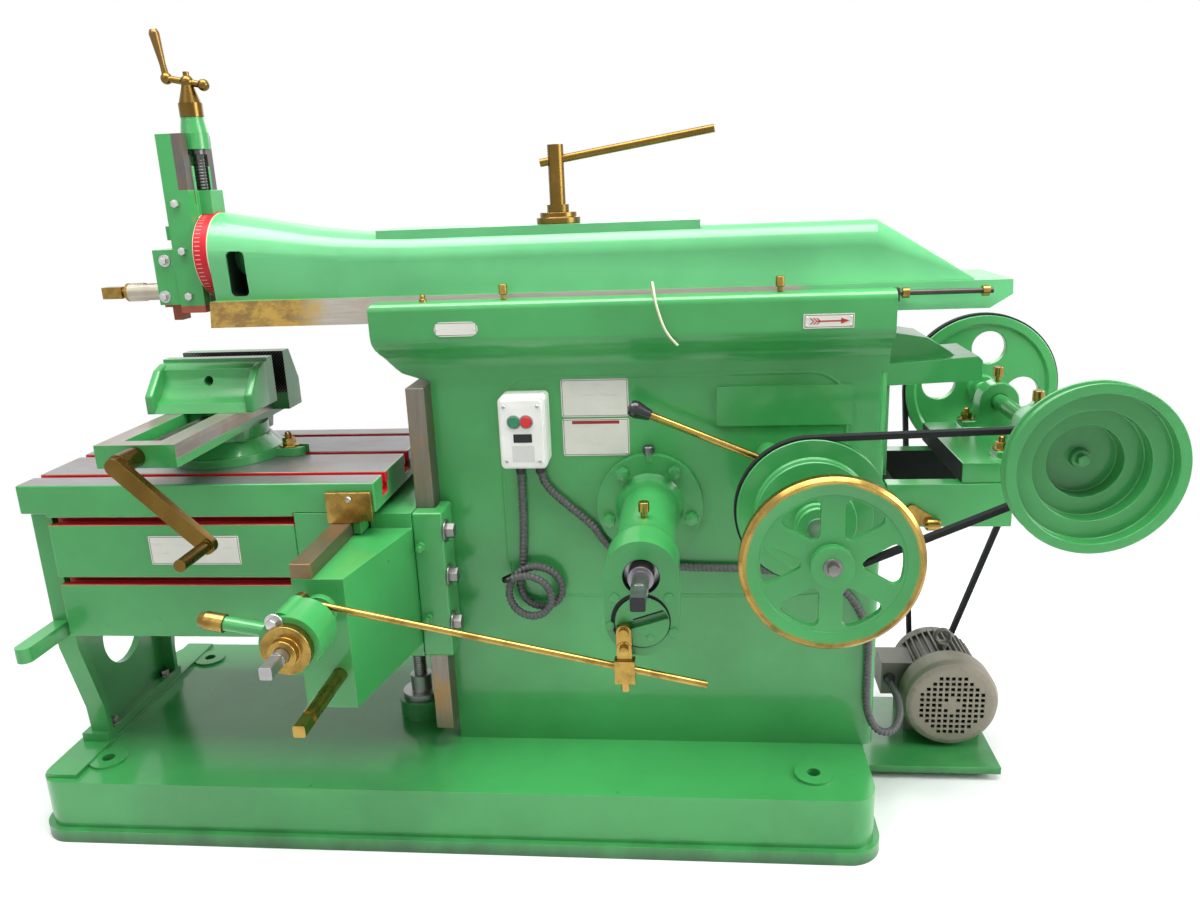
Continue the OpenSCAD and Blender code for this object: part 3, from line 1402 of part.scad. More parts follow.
// Slotted rocker arm that drives the ram
module rocker_arm() {
    half = 32;
    color(steel) at([bull_x, 0, rocker_pivot_z]) rotate([0, rocker_tilt, 0]) difference() {
        union() {
            along_y(rocker_y0, rocker_y1) {
                polygon([[-half, 40], [half, 40], [half - 6, rocker_len - 60], [-half + 6, rocker_len - 60]]);
                at([-half, 0]) square([2 * half, 60]);
                circle(r = half);
                at([0, rocker_len - 60]) circle(r = half - 6);
            }
            bar_y(0, 0, rocker_y1 - past, col_half - 2, rocker_pin_r);
        }
        along_y(rocker_y0 - past, rocker_y1 + past)
            at([-17, 150]) square([34, 460]);
    }
}
// Stroke-adjusting shaft through the crank gear's sleeve
module stroke_shaft() {
    color(steel) {
        square_end(bull_x, bull_z, -493, -455, stroke_r + 1);
        bar_y(bull_x, bull_z, -455, gear_y1 + 4, stroke_r);
        bar_y(bull_x, bull_z, nose_y - 8, nose_y + 14, stroke_r + 6);
    }
}
// Feed disc with its slot and gear
module feed_disc() {
    color(green) difference() {
        union() {
            bar_y(bull_x, disc_z, disc_face, nose_y + 15, disc_r);
            along_y(nose_y + 14, nose_y + 42) at([bull_x, disc_z])
                gear_outline(feed_teeth, feed_m, 90 + 180 / feed_teeth, 0.8);
            bar_y(bull_x, disc_z, nose_y + 41, nose_y + 55, 14);
        }
        at([bull_x, 0, disc_z]) rotate([0, -18, 0])
            box(-36, 36, disc_face - past, disc_face + 9, -6, 6);
    }
}
// Countershaft with its stepped pulley and motor pulley
module countershaft() {
    large = cone_small + (steps - 1) * step_r;
    outer = [for (p = cone_points(large, steps)) [p[0], cone_front + p[1]]];
    inner = [for (p = cone_points(large - cone_rim - groove, steps - 1)) [p[0], cone_front + p[1] - 4]];
    holes = 4;
    y = motor_belt_y;
    rim = motor_wheel_r - 16;
    color(green) {
        difference() {
            lathe_y(counter_x, counter_z) polygon(concat([[0, cone_front]], outer, [[0, cone_y]]));
            for (i = [0:steps - 1])
                at([counter_x, 0, counter_z]) step_groove(belt_y - i * step_w, cone_small + i * step_r);
            lathe_y(counter_x, counter_z) polygon(concat([[0, cone_front - past], [inner[0][0], cone_front - past]],
                [for (i = [1:len(inner) - 1]) inner[i]], [[0, inner[len(inner) - 1][1]]]));
        }
        bar_y(counter_x, counter_z, cone_front + steps * step_w - 38, y + 22, counter_r);
        difference() {
            lathe_y(counter_x, counter_z) polygon([[0, y - 8], [rim - 4, y - 8], [rim, y - 13], [motor_wheel_r, y - 13],
                [motor_wheel_r, y + 13], [rim, y + 13], [rim - 4, y + 8], [0, y + 8]]);
            at([counter_x, 0, counter_z]) step_groove(y, motor_wheel_r);
            for (i = [0:holes - 1])
                at([counter_x, 0, counter_z]) rotate([0, 8 + 360 * i / holes, 0])
                    bar_y(0, 78, y - 20, y + 20, 31);
        }
        bar_y(counter_x, counter_z, y - 22, y + 18, 26);
    }
}
// Motor shaft with its pulley and fan
module motor_rotor() {
    blades = 7;
    color(black) {
        bar_y(motor_x, motor_z, cowl_y + 12, motor_belt_y + 16, counter_r);
        difference() {
            bar_y(motor_x, motor_z, motor_belt_y - 15, motor_belt_y + 15, motor_small);
            at([motor_x, 0, motor_z]) step_groove(motor_belt_y, motor_small);
        }
        bar_y(motor_x, motor_z, cowl_y + 28, cowl_y + 33, 60);
        for (i = [0:blades - 1])
            at([motor_x, 0, motor_z]) rotate([0, 360 * i / blades, 0])
                box(20, 66, cowl_y + 12, cowl_y + 29, -1.5, 1.5);
    }
}
// Clutch lever with its turned knob
module clutch_lever() {
    run = norm([lever_run, lever_rise]);
    color(brass) {
        bar_y(lever_x, lever_z, lever_y - 10, -col_half - 2, lever_pin_r);
        bar_y(lever_x, lever_z, lever_y - 10, lever_y + 12 - gap, 15);
        at([lever_x, lever_y, lever_z]) rotate([0, -atan2(lever_run, lever_rise), 0])
            rotate_extrude() polygon([[0, 0], [lever_r, 0], [lever_r, run - 18], [8.5, run - 18], [14.5, run + 6],
                [14, run + 12], [11, run + 17], [5, run + 19.5], [0, run + 20]]);
    }
}
// Push buttons of the starter
module button(x) {
    bar_y(x, button_z, starter_y - 4, starter_y + 8, button_r);
}
module start_button() {
    color([0.10, 0.55, 0.30]) button(button_x[0]);
}
module stop_button() {
    color([0.80, 0.10, 0.10]) button(button_x[1]);
}

base();
column();
column_way();
ram_gib();
elevating_nut();
nose_housing();
starter_box();
supply_conduit();
conduit_coil();
motor_conduit();
oil_tube();
oil_cups();
countershaft_bracket();
bearing_blocks();
drive_belt();
motor_belt();
motor_plate();
motor_body();
fan_cowl();
ram();
clamp_flange();
clamp_handle();
swivel_head();
tool_slide();
downfeed_screw();
ball_crank();
clapper_box();
clapper_block();
tool_post();
cross_rail();
rail_guide_bar();
rail_clamps();
elevating_shaft();
elevating_screw();
feed_screw();
feed_collar();
pawl_arm();
pawl_plunger();
feed_rod();
feed_link();
table();
saddle();
way_wiper();
table_support();
vise_base();
vise_bed();
vise_jaw();
vise_crank();
cone_pulley();
hand_wheel();
bull_gear();
crank_block();
rocker_arm();
stroke_shaft();
feed_disc();
countershaft();
motor_rotor();
clutch_lever();
start_button();
stop_button();
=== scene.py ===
"""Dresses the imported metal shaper: enamel, brass and worn iron, with bolts, threads, plates and trim."""

import contextlib
import math

import bmesh
import bpy
from mathutils import Matrix, Vector


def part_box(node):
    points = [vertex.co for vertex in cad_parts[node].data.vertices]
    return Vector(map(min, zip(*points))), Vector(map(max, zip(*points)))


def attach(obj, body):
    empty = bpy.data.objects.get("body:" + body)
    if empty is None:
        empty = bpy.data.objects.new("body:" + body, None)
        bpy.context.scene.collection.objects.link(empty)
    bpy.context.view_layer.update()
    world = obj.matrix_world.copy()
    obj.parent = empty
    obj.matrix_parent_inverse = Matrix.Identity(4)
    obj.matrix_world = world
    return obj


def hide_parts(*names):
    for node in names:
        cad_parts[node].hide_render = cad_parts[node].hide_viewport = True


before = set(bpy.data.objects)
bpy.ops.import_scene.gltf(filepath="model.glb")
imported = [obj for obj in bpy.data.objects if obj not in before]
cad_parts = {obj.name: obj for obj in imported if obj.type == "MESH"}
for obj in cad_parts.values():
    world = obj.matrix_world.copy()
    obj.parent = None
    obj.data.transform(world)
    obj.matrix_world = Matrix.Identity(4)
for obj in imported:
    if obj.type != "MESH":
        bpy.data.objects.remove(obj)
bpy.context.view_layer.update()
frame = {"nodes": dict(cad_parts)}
NODES = frame["nodes"]

bl_info = {
    "name": "Metal shaper dressing",
    "version": (1, 0, 0),
    "blender": (4, 5, 0),
    "location": "3D View > Sidebar > Shaper",
    "description": "Finishes and small fittings of a belt-driven metal shaper",
    "category": "Object",
}

MM = 0.001
X, Y, Z = Vector((1, 0, 0)), Vector((0, 1, 0)), Vector((0, 0, 1))

# Places read from the frame, in millimetres: X and Z of lines along Y, then the vise's X and Y
WHEEL = (607, 598)
CRANK = (359, 565)
DISC = (359, 499)
COUNTER = (977, 681)
LEVER = (552, 650)
LEVER_RUN = Vector((-203, 86))
VISE = (-403, -16)

# Heights, and faces by their Y, in millimetres
RING_Z = 990
STARTER_FOOT = 643
COLUMN_FACE = -95
FLANGE_FACE = -110
LOBE_FACE = -405
DISC_FACE = -407
CAP_FACE = -133
TABLE_FACE = -198

# Depths of relief in metres
CASTING = 0.0010
MOULDED = 0.0005
POLISHED = 0.0004


# Finishes and sizes that a user may change

def tint(label, words, value):
    return bpy.props.FloatVectorProperty(
        name=label, description=words, default=value, size=3, min=0, max=1, subtype="COLOR")


def length(label, words, value):
    return bpy.props.FloatProperty(
        name=label, description=words, default=value, min=0, unit="LENGTH", subtype="DISTANCE")


def power(label, words, value):
    return bpy.props.FloatProperty(name=label, description=words, default=value, min=0, unit="POWER")


class ShaperPaint(bpy.types.PropertyGroup):
    """Colours of the machine's finishes."""
    enamel: tint("Enamel", "Gloss enamel of the castings", (0.045, 0.300, 0.078))
    dust: tint("Dust", "Dry dust on the enamel", (0.33, 0.40, 0.25))
    # crown is a lighter copy of the enamel for the ram: painted light from above, not a different paint
    crown: tint("Crown", "Paler, newer enamel of the ram", (0.100, 0.410, 0.158))
    grime: tint("Grime", "Oily dirt near the floor", (0.022, 0.060, 0.022))
    # painted shade: the near-black colour laid where insides, bores and gaps of the castings lie in shade
    painted_shade: tint("Soot", "Dark insides of the castings", (0.006, 0.010, 0.007))
    red: tint("Red", "Paint in the slots and on the swivel ring", (0.50, 0.012, 0.022))
    brass: tint("Brass", "Polished brass of the handles", (0.37, 0.240, 0.062))
    stain: tint("Stain", "Oil and rust stain on the ways", (0.30, 0.17, 0.055))
    steel: tint("Steel", "Bright steel of the shafts and bolts", (0.42, 0.42, 0.42))
    motor: tint("Motor", "Satin grey of the motor", (0.17, 0.16, 0.142))
    rubber: tint("Rubber", "Belts and ties", (0.007, 0.008, 0.009))
    conduit: tint("Conduit", "Ribbed plastic of the conduits", (0.088, 0.086, 0.088))
    starter: tint("Starter", "Plastic of the starter box", (0.80, 0.79, 0.76))
    primer: tint("Primer", "Red oxide on the clapper block", (0.36, 0.085, 0.045))
    plate: tint("Plate", "Bare printed plates", (0.66, 0.65, 0.59))


class ShaperSizes(bpy.types.PropertyGroup):
    """Sizes of the small fittings."""
    edge: length("Casting edge", "Round on the edges of the large castings", 0.004)
    small_edge: length("Small edge", "Round on the edges of the small parts", 0.0012)
    rail_bolt: length("Rail bolt", "Width across flats of the bolts of the rail's clamps", 0.022)
    nut: length("Nut", "Width across flats of the vise nuts", 0.020)
    cap_bolt: length("Cap bolt", "Width across flats of the bolts of the nose housing", 0.019)
    plate: length("Plate", "Thickness of the bare plates", 0.0012)
    pitch: length("Thread pitch", "Rise of the visible screw threads per turn", 0.005)
    rib: length("Conduit rib", "Distance between the ribs of the conduits", 0.0072)


class ShaperStage(bpy.types.PropertyGroup):
    """Lamps and floor."""
    key: power("Key", "Power of the large lamp on the operator's side", 17)
    fill: power("Fill", "Power of the lamp towards the drive end", 92)
    top: power("Top", "Power of the lamp above the ram", 185)
    surround: bpy.props.FloatProperty(
        name="Surround", description="Strength of the even light from all round", default=0.24, min=0)
    floor: tint("Floor", "Plain floor", (0.93, 0.93, 0.93))


def paint():
    return bpy.context.scene.shaper_paint


def sizes():
    return bpy.context.scene.shaper_sizes


# Shader arithmetic

def arithmetic(operation, swapped=False):
    """Method that joins a socket and another term by a math node."""
    def method(self, other):
        terms = (other, self) if swapped else (self, other)
        return self.math(operation, *terms)
    return method


class Sock:
    """A node's output that takes part in Python arithmetic."""

    def __init__(self, finish, socket):
        self.finish = finish
        self.socket = socket

    def math(self, operation, *terms):
        return self.finish.node("ShaderNodeMath", {"operation": operation}, dict(enumerate(terms)))

    def __abs__(self):
        return self.math("ABSOLUTE", self)

    __add__ = arithmetic("ADD")
    __radd__ = arithmetic("ADD", True)
    __sub__ = arithmetic("SUBTRACT")
    __rsub__ = arithmetic("SUBTRACT", True)
    __mul__ = arithmetic("MULTIPLY")
    __rmul__ = arithmetic("MULTIPLY", True)
    __pow__ = arithmetic("POWER")
    __mod__ = arithmetic("FLOORED_MODULO")
    __gt__ = arithmetic("GREATER_THAN")
    __lt__ = arithmetic("LESS_THAN")


class Look:
    """What a finish shows at a point: colour, roughness, metal share, lacquer and relief."""

    def __init__(self, colour, rough, metal, coat, relief):
        self.colour = colour
        self.rough = rough
        self.metal = metal
        self.coat = coat
        self.relief = relief


class Finish:
    """A material under construction."""

    def __init__(self, name):
        self.material = bpy.data.materials.new(name)
        self.material.use_nodes = True
        self.tree = self.material.node_tree
        self.tree.nodes.clear()
        self.place = self.node("ShaderNodeTexCoord", out="Object")
        split = self.node("ShaderNodeSeparateXYZ", {}, {0: self.place}, out=None)
        self.x, self.y, self.z = (Sock(self, split.outputs[i]) for i in range(3))

    def node(self, kind, settings=None, inputs=None, out=0):
        """Adds a node; returns the socket named by out, or the node itself where out is None."""
        made = self.tree.nodes.new(kind)
        for key, value in (settings or {}).items():
            setattr(made, key, value)
        for key, value in (inputs or {}).items():
            if isinstance(value, Sock):
                self.tree.links.new(value.socket, made.inputs[key])
            else:
                made.inputs[key].default_value = value
        return made if out is None else Sock(self, made.outputs[out])

    def noise(self, scale, detail=3.0, rough=0.55, stretch=None):
        """Noise from 0 to 1 on object coordinates, stretched along an axis where asked."""
        where = self.place
        if stretch:
            where = self.node("ShaderNodeMapping", {}, {"Vector": self.place, "Scale": stretch})
        return self.node("ShaderNodeTexNoise", {}, {
            "Vector": where, "Scale": scale, "Detail": detail, "Roughness": rough})

    def step(self, value, low, high):
        """Smooth rise from 0 to 1 as value goes from low to high."""
        return self.node("ShaderNodeMapRange", {"interpolation_type": "SMOOTHSTEP"},
                         {0: value, 1: low, 2: high, 3: 0.0, 4: 1.0})

    def mix(self, share, a, b):
        """Colour a where share is 0, b where it is 1."""
        inputs = {i: c if isinstance(c, Sock) else (*c, 1) for i, c in ((6, a), (7, b))}
        return self.node("ShaderNodeMix", {"data_type": "RGBA"}, {0: share, **inputs}, out=2)

    def between(self, value, low, high):
        return (value > low) * (value < high)

    def either(self, a, b):
        """1 where one of two masks is 1."""
        return a + b * (1 - a)

    def radius(self, axis, centre):
        """Distance from a line along axis through centre, given in millimetres."""
        places = {"x": (self.y, self.z), "y": (self.x, self.z), "z": (self.x, self.y)}[axis]
        a, b = (place - middle * MM for place, middle in zip(places, centre))
        return (a * a + b * b) ** 0.5

    def over(self, share, under, upper):
        """One look laid over another where share is 1."""
        parts = ("rough", "metal", "coat", "relief")
        pairs = ((getattr(under, part), getattr(upper, part)) for part in parts)
        return Look(self.mix(share, under.colour, upper.colour), *(a + (b - a) * share for a, b in pairs))

    def shade(self, look, depth):
        """Closes the material with one shader."""
        bump = self.node("ShaderNodeBump", {}, {"Strength": 1.0, "Distance": depth, "Height": look.relief})
        shader = self.node("ShaderNodeBsdfPrincipled", {}, {
            "Base Color": look.colour, "Roughness": look.rough, "Metallic": look.metal,
            "Coat Weight": look.coat, "Coat Roughness": 0.12, "IOR": 1.5, "Specular IOR Level": 0.3,
            "Normal": bump}, out=None)
        end = self.node("ShaderNodeOutputMaterial", out=None)
        self.tree.links.new(shader.outputs[0], end.inputs[0])
        return self.material


def shifted(colour, factor):
    return tuple(min(1.0, c * factor) for c in colour)


# Looks that several materials share

def enamel(f, dirt=0.0, colour=None):
    """Brush-painted gloss enamel over rough castings, a little uneven, dirtier towards the floor."""
    colour = colour or paint().enamel
    cloud = f.noise(3.2, 4.0)
    spot = f.noise(34.0, 5.0, 0.62)
    tone = f.mix(f.step(cloud, 0.34, 0.68), shifted(colour, 0.86), shifted(colour, 1.13))
    tone = f.mix(f.step(spot, 0.64, 0.84) * 0.08, tone, paint().dust)
    rough = 0.24 + spot * 0.12
    if dirt:
        streak = f.noise(11.0, 4.0, 0.6, (1, 1, 0.5))
        soil = f.step(f.z + streak * 0.05, 0.062, 0.020) * dirt
        tone = f.mix(soil, tone, paint().grime)
        rough = rough + soil * 0.25
    relief = f.noise(15.0, 2.0) * 0.55 + f.noise(120.0, 2.0) * 0.03
    return Look(tone, rough, 0.0, 0.55, relief)


def foot_enamel(f):
    """Enamel of the castings that reach the floor."""
    return enamel(f, 0.8)


def machined(f, along, colour, stain):
    """Machined iron with tool marks along one direction, oil and rust stain."""
    marks = f.noise(60.0, 3.0, 0.6, along)
    cloud = f.noise(9.0, 5.0, 0.62)
    tone = f.mix(marks, shifted(colour, 0.72), shifted(colour, 1.22))
    tone = f.mix(f.step(cloud, 0.44, 0.72) * stain, tone, paint().stain)
    return Look(tone, 0.28 + cloud * 0.22, 0.82, 0.0, marks * 0.25 + cloud * 0.1)


def steel(f, colour=None):
    """Turned bright steel with a trace of oil."""
    colour = colour or paint().steel
    cloud = f.noise(42.0, 4.0)
    tone = f.mix(cloud, shifted(colour, 0.62), shifted(colour, 1.12))
    return Look(tone, 0.22 + cloud * 0.2, 0.95, 0.0, f.noise(300.0, 2.0) * 0.12)


def brass(f):
    """Hand-polished brass with finger marks, and dark mottling that is partly tarnish and partly painted
    reflection of dark surroundings.
    """
    cloud = f.noise(26.0, 5.0, 0.62)
    # dark mottling: partly tarnish, partly painted reflection of dark surroundings
    tarnish_and_painted_reflection = f.step(cloud, 0.40, 0.70) * 0.62
    tone = f.mix(tarnish_and_painted_reflection, shifted(paint().brass, 1.12), (0.105, 0.058, 0.015))
    return Look(tone, 0.16 + cloud * 0.20, 1.0, 0.0, cloud * 0.08)


def aged(f):
    """Brass that hands have dulled."""
    look = brass(f)
    look.colour = f.mix(f.noise(18.0, 4.0, 0.6), (0.090, 0.050, 0.012), (0.25, 0.155, 0.036))
    return look


def plain(f, colour, rough, metal=0.0, coat=0.0, grain=260.0, relief=0.15):
    """Moulded plastic, rubber or thin paint with a fine grain."""
    cloud = f.noise(16.0, 4.0)
    tone = f.mix(cloud, shifted(colour, 0.86), shifted(colour, 1.12))
    return Look(tone, rough + (cloud - 0.5) * 0.14, metal, coat, f.noise(grain, 2.0) * relief)


def primer(f):
    """Red oxide primer on a rough casting."""
    return plain(f, paint().primer, 0.5, 0.0, 0.05, 70.0, 0.5)


def painted_shade(f, rough):
    """Painted shade: near-black colour laid on the insides, bores and gaps of the castings, where shade
    falls.
    """
    return plain(f, paint().painted_shade, rough)


def simple(name, look, depth=MOULDED):
    """A material of one look."""
    f = Finish(name)
    return f.shade(look(f), depth)


def moulded(name, colour, rough, *rest):
    """A material of plain plastic or paint."""
    return simple(name, lambda f: plain(f, colour, rough, *rest))


def metal(name, colour):
    """A material of steel in a colour of its own."""
    return simple(name, lambda f: steel(f, colour))


# Looks of the solids that carry more than one finish

def ram_look(f):
    """Enamel above, bare stained slideways below as far as the guide wears them; the enamel is a lighter
    copy, painted light from above, and the window's inside is painted near-black as painted shade.
    """
    mottle = f.noise(60.0, 6.0, 0.7, (0.6, 1, 1))
    bare = machined(f, (0.25, 3, 3), (0.36, 0.33, 0.29), 0.2)
    varnish = f.step(f.x + mottle * 0.12, -0.09, -0.16)
    ochre = f.mix(f.step(mottle, 0.40, 0.62), (0.40, 0.25, 0.036), (0.20, 0.112, 0.02))
    bare.colour = f.mix(varnish * 0.92, bare.colour, ochre)
    bare.metal = 0.35
    painted = f.either(f.step(f.z, 0.9172, 0.9186), f.step(f.x, 0.585, 0.62))
    # painted shade: the inside of the window in the nose is near-black
    window = f.between(f.x, -0.3325, -0.2995) * f.between(f.z, 0.9235, 0.9985)
    window = window * f.between(f.y, -0.066, 0.004)
    # painted light: the crown colour is a lighter copy of the enamel
    look = f.over(painted, bare, enamel(f, 0.0, paint().crown))
    return f.over(window, look, plain(f, (0.012, 0.024, 0.014), 0.6))


def table_look(f):
    """Ground top, red slots, green sides."""
    look = enamel(f, 0.5)
    red = plain(f, paint().red, 0.34, 0.0, 0.15)
    depth = f.between(f.z, 0.602, 0.6362)
    for centre in (-0.142, -0.016, 0.110):
        look = f.over(depth * f.between(f.y, centre - 0.0155, centre + 0.0155), look, red)
    sides = f.between(f.y, -0.1972, -0.16) + f.between(f.y, 0.12, 0.1572)
    for low, high in ((0.5610, 0.5865), (0.4545, 0.4795)):
        look = f.over(f.between(f.z, low, high) * sides, look, red)
    top = machined(f, (0.35, 3, 1), (0.33, 0.325, 0.335), 0.25)
    return f.over(f.step(f.z, 0.6364, 0.6368), look, top)


def swivel_look(f):
    """Green head with its red ring, marked in degrees between two pale lines."""
    ring = f.between(f.radius("x", (0, RING_Z)), 0.0690, 0.0716) * f.between(f.x, -0.3885, -0.3620)
    turn = f.y.math("ARCTAN2", f.y, f.z - RING_Z * MM)
    tick = abs((turn * (180 / math.pi) + 180.0) % 6.0 - 3.0) < 0.7
    line = f.between(f.x, -0.3890, -0.3868) + f.between(f.x, -0.3640, -0.3610)
    red = plain(f, paint().red, 0.42)
    red.colour = f.mix(tick * f.between(f.x, -0.3845, -0.3755) * 0.5, red.colour, (0.80, 0.52, 0.46))
    red.colour = f.mix(line, red.colour, (0.62, 0.55, 0.38))
    bare = machined(f, (3, 3, 0.3), (0.13, 0.125, 0.12), 0.4)
    guide = f.between(f.x, -0.4060, -0.3885) * (f.z > 1.075)
    return f.over(guide, f.over(ring, enamel(f), red), bare)


def tool_slide_look(f):
    """Enamel with bare dovetail faces above and a strip of primer at the foot."""
    bare = machined(f, (3, 3, 0.3), (0.13, 0.125, 0.125), 0.35)
    ways = f.step(f.x, -0.4066, -0.4058) * (f.z > 1.098) * (abs(f.y) > 0.0300)
    return f.over(f.z < 0.9085, f.over(ways, enamel(f), bare), primer(f))


def hand_wheel_look(f):
    """Green wheel with a rim worn to brass."""
    worn = f.step(f.radius("y", WHEEL) + f.noise(30.0, 4.0) * 0.006, 0.1105, 0.1145)
    return f.over(worn, enamel(f), brass(f))


def pulley_look(f, centre, shaft_r):
    """Enamelled pulley on a bright shaft."""
    return f.over(f.radius("y", centre) < shaft_r, enamel(f), steel(f))


def scored(f):
    """Jaw face cut with crossing grooves."""
    face = steel(f, (0.20, 0.20, 0.19))
    groove = ((f.x + f.z) % 0.006 < 0.0022) + ((f.x - f.z) % 0.006 < 0.0022)
    face.colour = f.mix(groove, face.colour, (0.03, 0.035, 0.03))
    return face


def bed_look(f):
    """Vise bed with bare guide bars and a scored jaw face."""
    bare = machined(f, (3, 0.3, 3), (0.38, 0.345, 0.32), 0.5)
    bars = f.between(f.z, 0.7085, 0.7318) * f.between(f.y, -0.2968, 0.0405)
    bars = bars * f.either(abs(f.x - VISE[0] * MM) > 0.0310, f.y < -0.2710)
    look = f.over(bars, enamel(f), bare)
    return f.over((f.y < 0.0466) * (f.z > 0.7360), look, scored(f))


def nose_look(f):
    """Green housing, steel where the plug stands, with painted shade in the bore and in the gap round the
    feed disc.
    """
    bore = (f.radius("y", CRANK) < 0.0258) * (f.y < -0.30)
    gap = (f.radius("y", (DISC[0] - 2.0, DISC[1] + 1.5)) < 0.0412) * (f.y < -0.38)
    # painted shade: the bore and the gap round the feed disc are near-black
    look = f.over(f.either(bore, gap), enamel(f), painted_shade(f, 0.7))
    return f.over(f.z > 0.6535, look, steel(f, (0.20, 0.20, 0.20)))


def disc_look(f):
    """Green feed disc with painted shade in the slot for the link's pin and along its edge."""
    a, b = f.x - 0.369, f.z - 0.505
    turn = math.radians(18.4)
    along = a * math.cos(turn) + b * math.sin(turn)
    across = b * math.cos(turn) - a * math.sin(turn)
    # painted shade: the slot and the disc's edge are near-black
    slot = (abs(along) < 0.022) * (abs(across) < 0.0062) * (f.y < -0.4060)
    edge = f.radius("y", DISC) > 0.0374
    return f.over(f.either(slot, edge), enamel(f), painted_shade(f, 0.8))


def gib_look(f):
    """Dark steel gib and rod with brass nuts at the rod's end."""
    nuts = (f.radius("x", (-104, 904)) > 0.0046) * (f.x > 0.7475)
    return f.over(nuts, steel(f, (0.085, 0.075, 0.065)), brass(f))


def lever_look(f):
    """Brass lever with a black knob."""
    way = LEVER_RUN.normalized()
    along = (f.x - LEVER[0] * MM) * way.x + (f.z - LEVER[1] * MM) * way.y
    knob = along > (LEVER_RUN.length - 18.5) * MM
    return f.over(knob, brass(f), plain(f, (0.014, 0.014, 0.016), 0.24, 0.0, 0.4))


def crank_look(f):
    """Brass ball crank with a darker grip."""
    grip = f.step(f.z, 1.288, 1.296) * (f.x < -0.4150)
    worn = brass(f)
    worn.colour = f.mix(f.noise(16.0, 4.0, 0.6, (1, 1, 0.3)), (0.085, 0.045, 0.018), (0.27, 0.17, 0.055))
    worn.rough = 0.34
    return f.over(grip, aged(f), worn)


def starter_look(f):
    """White starter with a seam between lid and back."""
    white = plain(f, paint().starter, 0.32, 0.0, 0.1, 320.0, 0.1)
    return f.over(f.between(f.y, -0.1152, -0.1136), white, plain(f, (0.20, 0.20, 0.19), 0.6))


def motor_look(f):
    """Motor body in satin grey, dusty between its fins."""
    look = plain(f, paint().motor, 0.45, 0.2, 0.0, 90.0, 0.4)
    dust = f.step(f.noise(20.0, 4.0), 0.52, 0.70) * 0.35
    look.colour = f.mix(dust, look.colour, (0.24, 0.215, 0.165))
    return look


def belt_look(f):
    """Black rubber with a woven cover."""
    look = plain(f, paint().rubber, 0.78)
    look.relief = f.noise(420.0, 2.0) * 0.5
    return look


